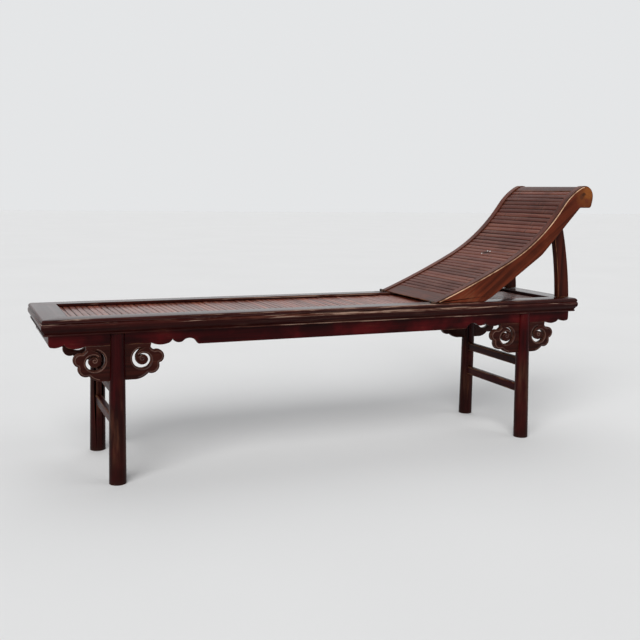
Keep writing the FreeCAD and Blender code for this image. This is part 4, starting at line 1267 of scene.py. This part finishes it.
class DAYBED_OT_prop(PieceOperator, bpy.types.Operator):
    """Dresses the folding prop"""

    bl_idname = "daybed.prop"
    bl_label = "Folding Prop"

    def make(self, scene):
        colour = scene.daybed_wood.post_tint
        post = lacquered_wood("post_wood", colour, 2, wear=0.45, rough=0.32)
        rail = lacquered_wood("prop_rail_wood", colour, 1, wear=0.3, rough=0.36)
        for side in SIDES:
            dressed(f"{side}_prop_post", "prop", "prop_wood", post, rounding=0.0035, segments=3)
        dressed("prop_rail", "prop", "prop_wood", rail)


class DAYBED_OT_ironwork(PieceOperator, bpy.types.Operator):
    """Dresses the hinges, pins and repair nails"""

    bl_idname = "daybed.ironwork"
    bl_label = "Ironwork"

    def make(self, scene):
        trim = scene.daybed_trim
        iron = aged_metal("hinge_iron", trim.iron_tint, 0.1, 0.42)
        slot = aged_metal("screw_slot", (0.01, 0.009, 0.008), 0.0, 0.7)
        steel = aged_metal("nail_steel", trim.nail_tint, -0.15, 0.28)
        for side in SIDES:
            for piece, body, rounding in (
                ("hinge_bed_leaf", "bed", 0.0003),
                ("hinge_pin", "bed", 0.0003),
                ("hinge_back_leaf", "backrest", 0.0003),
                ("pivot_pin", "backrest", 0.0004),
            ):
                dressed(f"{side}_{piece}", body, "iron", iron, rounding=rounding, wear=0)
            self.screws(f"{side}_hinge_bed_leaf", "bed", 0.0, iron, slot)
            self.screws(f"{side}_hinge_back_leaf", "backrest", math.pi, iron, slot)
        dressed("repair_nails", "backrest", "nail", steel, rounding=0.0005, wear=0)

    def screws(self, node, body, flip, iron, slot):
        """Three flush screws in a leaf's flap, away from its barrel."""
        low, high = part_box(node)
        start, way, level = (high.x, -1, low.z) if flip else (low.x, 1, SEAT_TOP)
        middle = (low.y + high.y) / 2
        spots = [(start + x * way, middle + y, level) for x, y in SCREW_SPOTS]
        points = bpy.data.meshes.new("screw_points")
        points.from_pydata(spots, [], [])
        mesh = grown(
            f"screws_{node}",
            screw_tree(),
            points,
            radius=bpy.context.scene.daybed_trim.screw_radius,
            rise=SCREW_RISE,
            flip=flip,
            seed=len(node),
            finish=iron,
            slot_finish=slot,
        )
        finished(f"screws_{node}", mesh, body, "iron")


class DAYBED_PT_panel(bpy.types.Panel):
    """Lists the daybed's pieces and their settings"""

    bl_label = "Daybed"
    bl_space_type = "VIEW_3D"
    bl_region_type = "UI"
    bl_category = "Daybed"

    def draw(self, context):
        for operator in OPERATORS:
            self.layout.operator(operator.bl_idname)
        for name, group in GROUPS.items():
            box = self.layout.box()
            for setting in group.__annotations__:
                box.prop(getattr(context.scene, name), setting)


OPERATORS = (
    DAYBED_OT_stage,
    DAYBED_OT_seat_frame,
    DAYBED_OT_seat_slats,
    DAYBED_OT_skirt,
    DAYBED_OT_legs,
    DAYBED_OT_back_frame,
    DAYBED_OT_back_slats,
    DAYBED_OT_prop,
    DAYBED_OT_ironwork,
)
GROUPS = {"daybed_wood": DaybedWood, "daybed_slats": DaybedSlats, "daybed_trim": DaybedTrim}


def register():
    for name, group in GROUPS.items():
        bpy.utils.register_class(group)
        setattr(bpy.types.Scene, name, PointerProperty(type=group))
    for item in (*OPERATORS, DAYBED_PT_panel):
        bpy.utils.register_class(item)


def unregister():
    for item in (DAYBED_PT_panel, *reversed(OPERATORS)):
        bpy.utils.unregister_class(item)
    for name, group in GROUPS.items():
        delattr(bpy.types.Scene, name)
        bpy.utils.unregister_class(group)


def main():
    register()
    for operator in OPERATORS:
        family, action = operator.bl_idname.split(".")
        getattr(getattr(bpy.ops, family), action)()


if __name__ == "__main__":
    main()
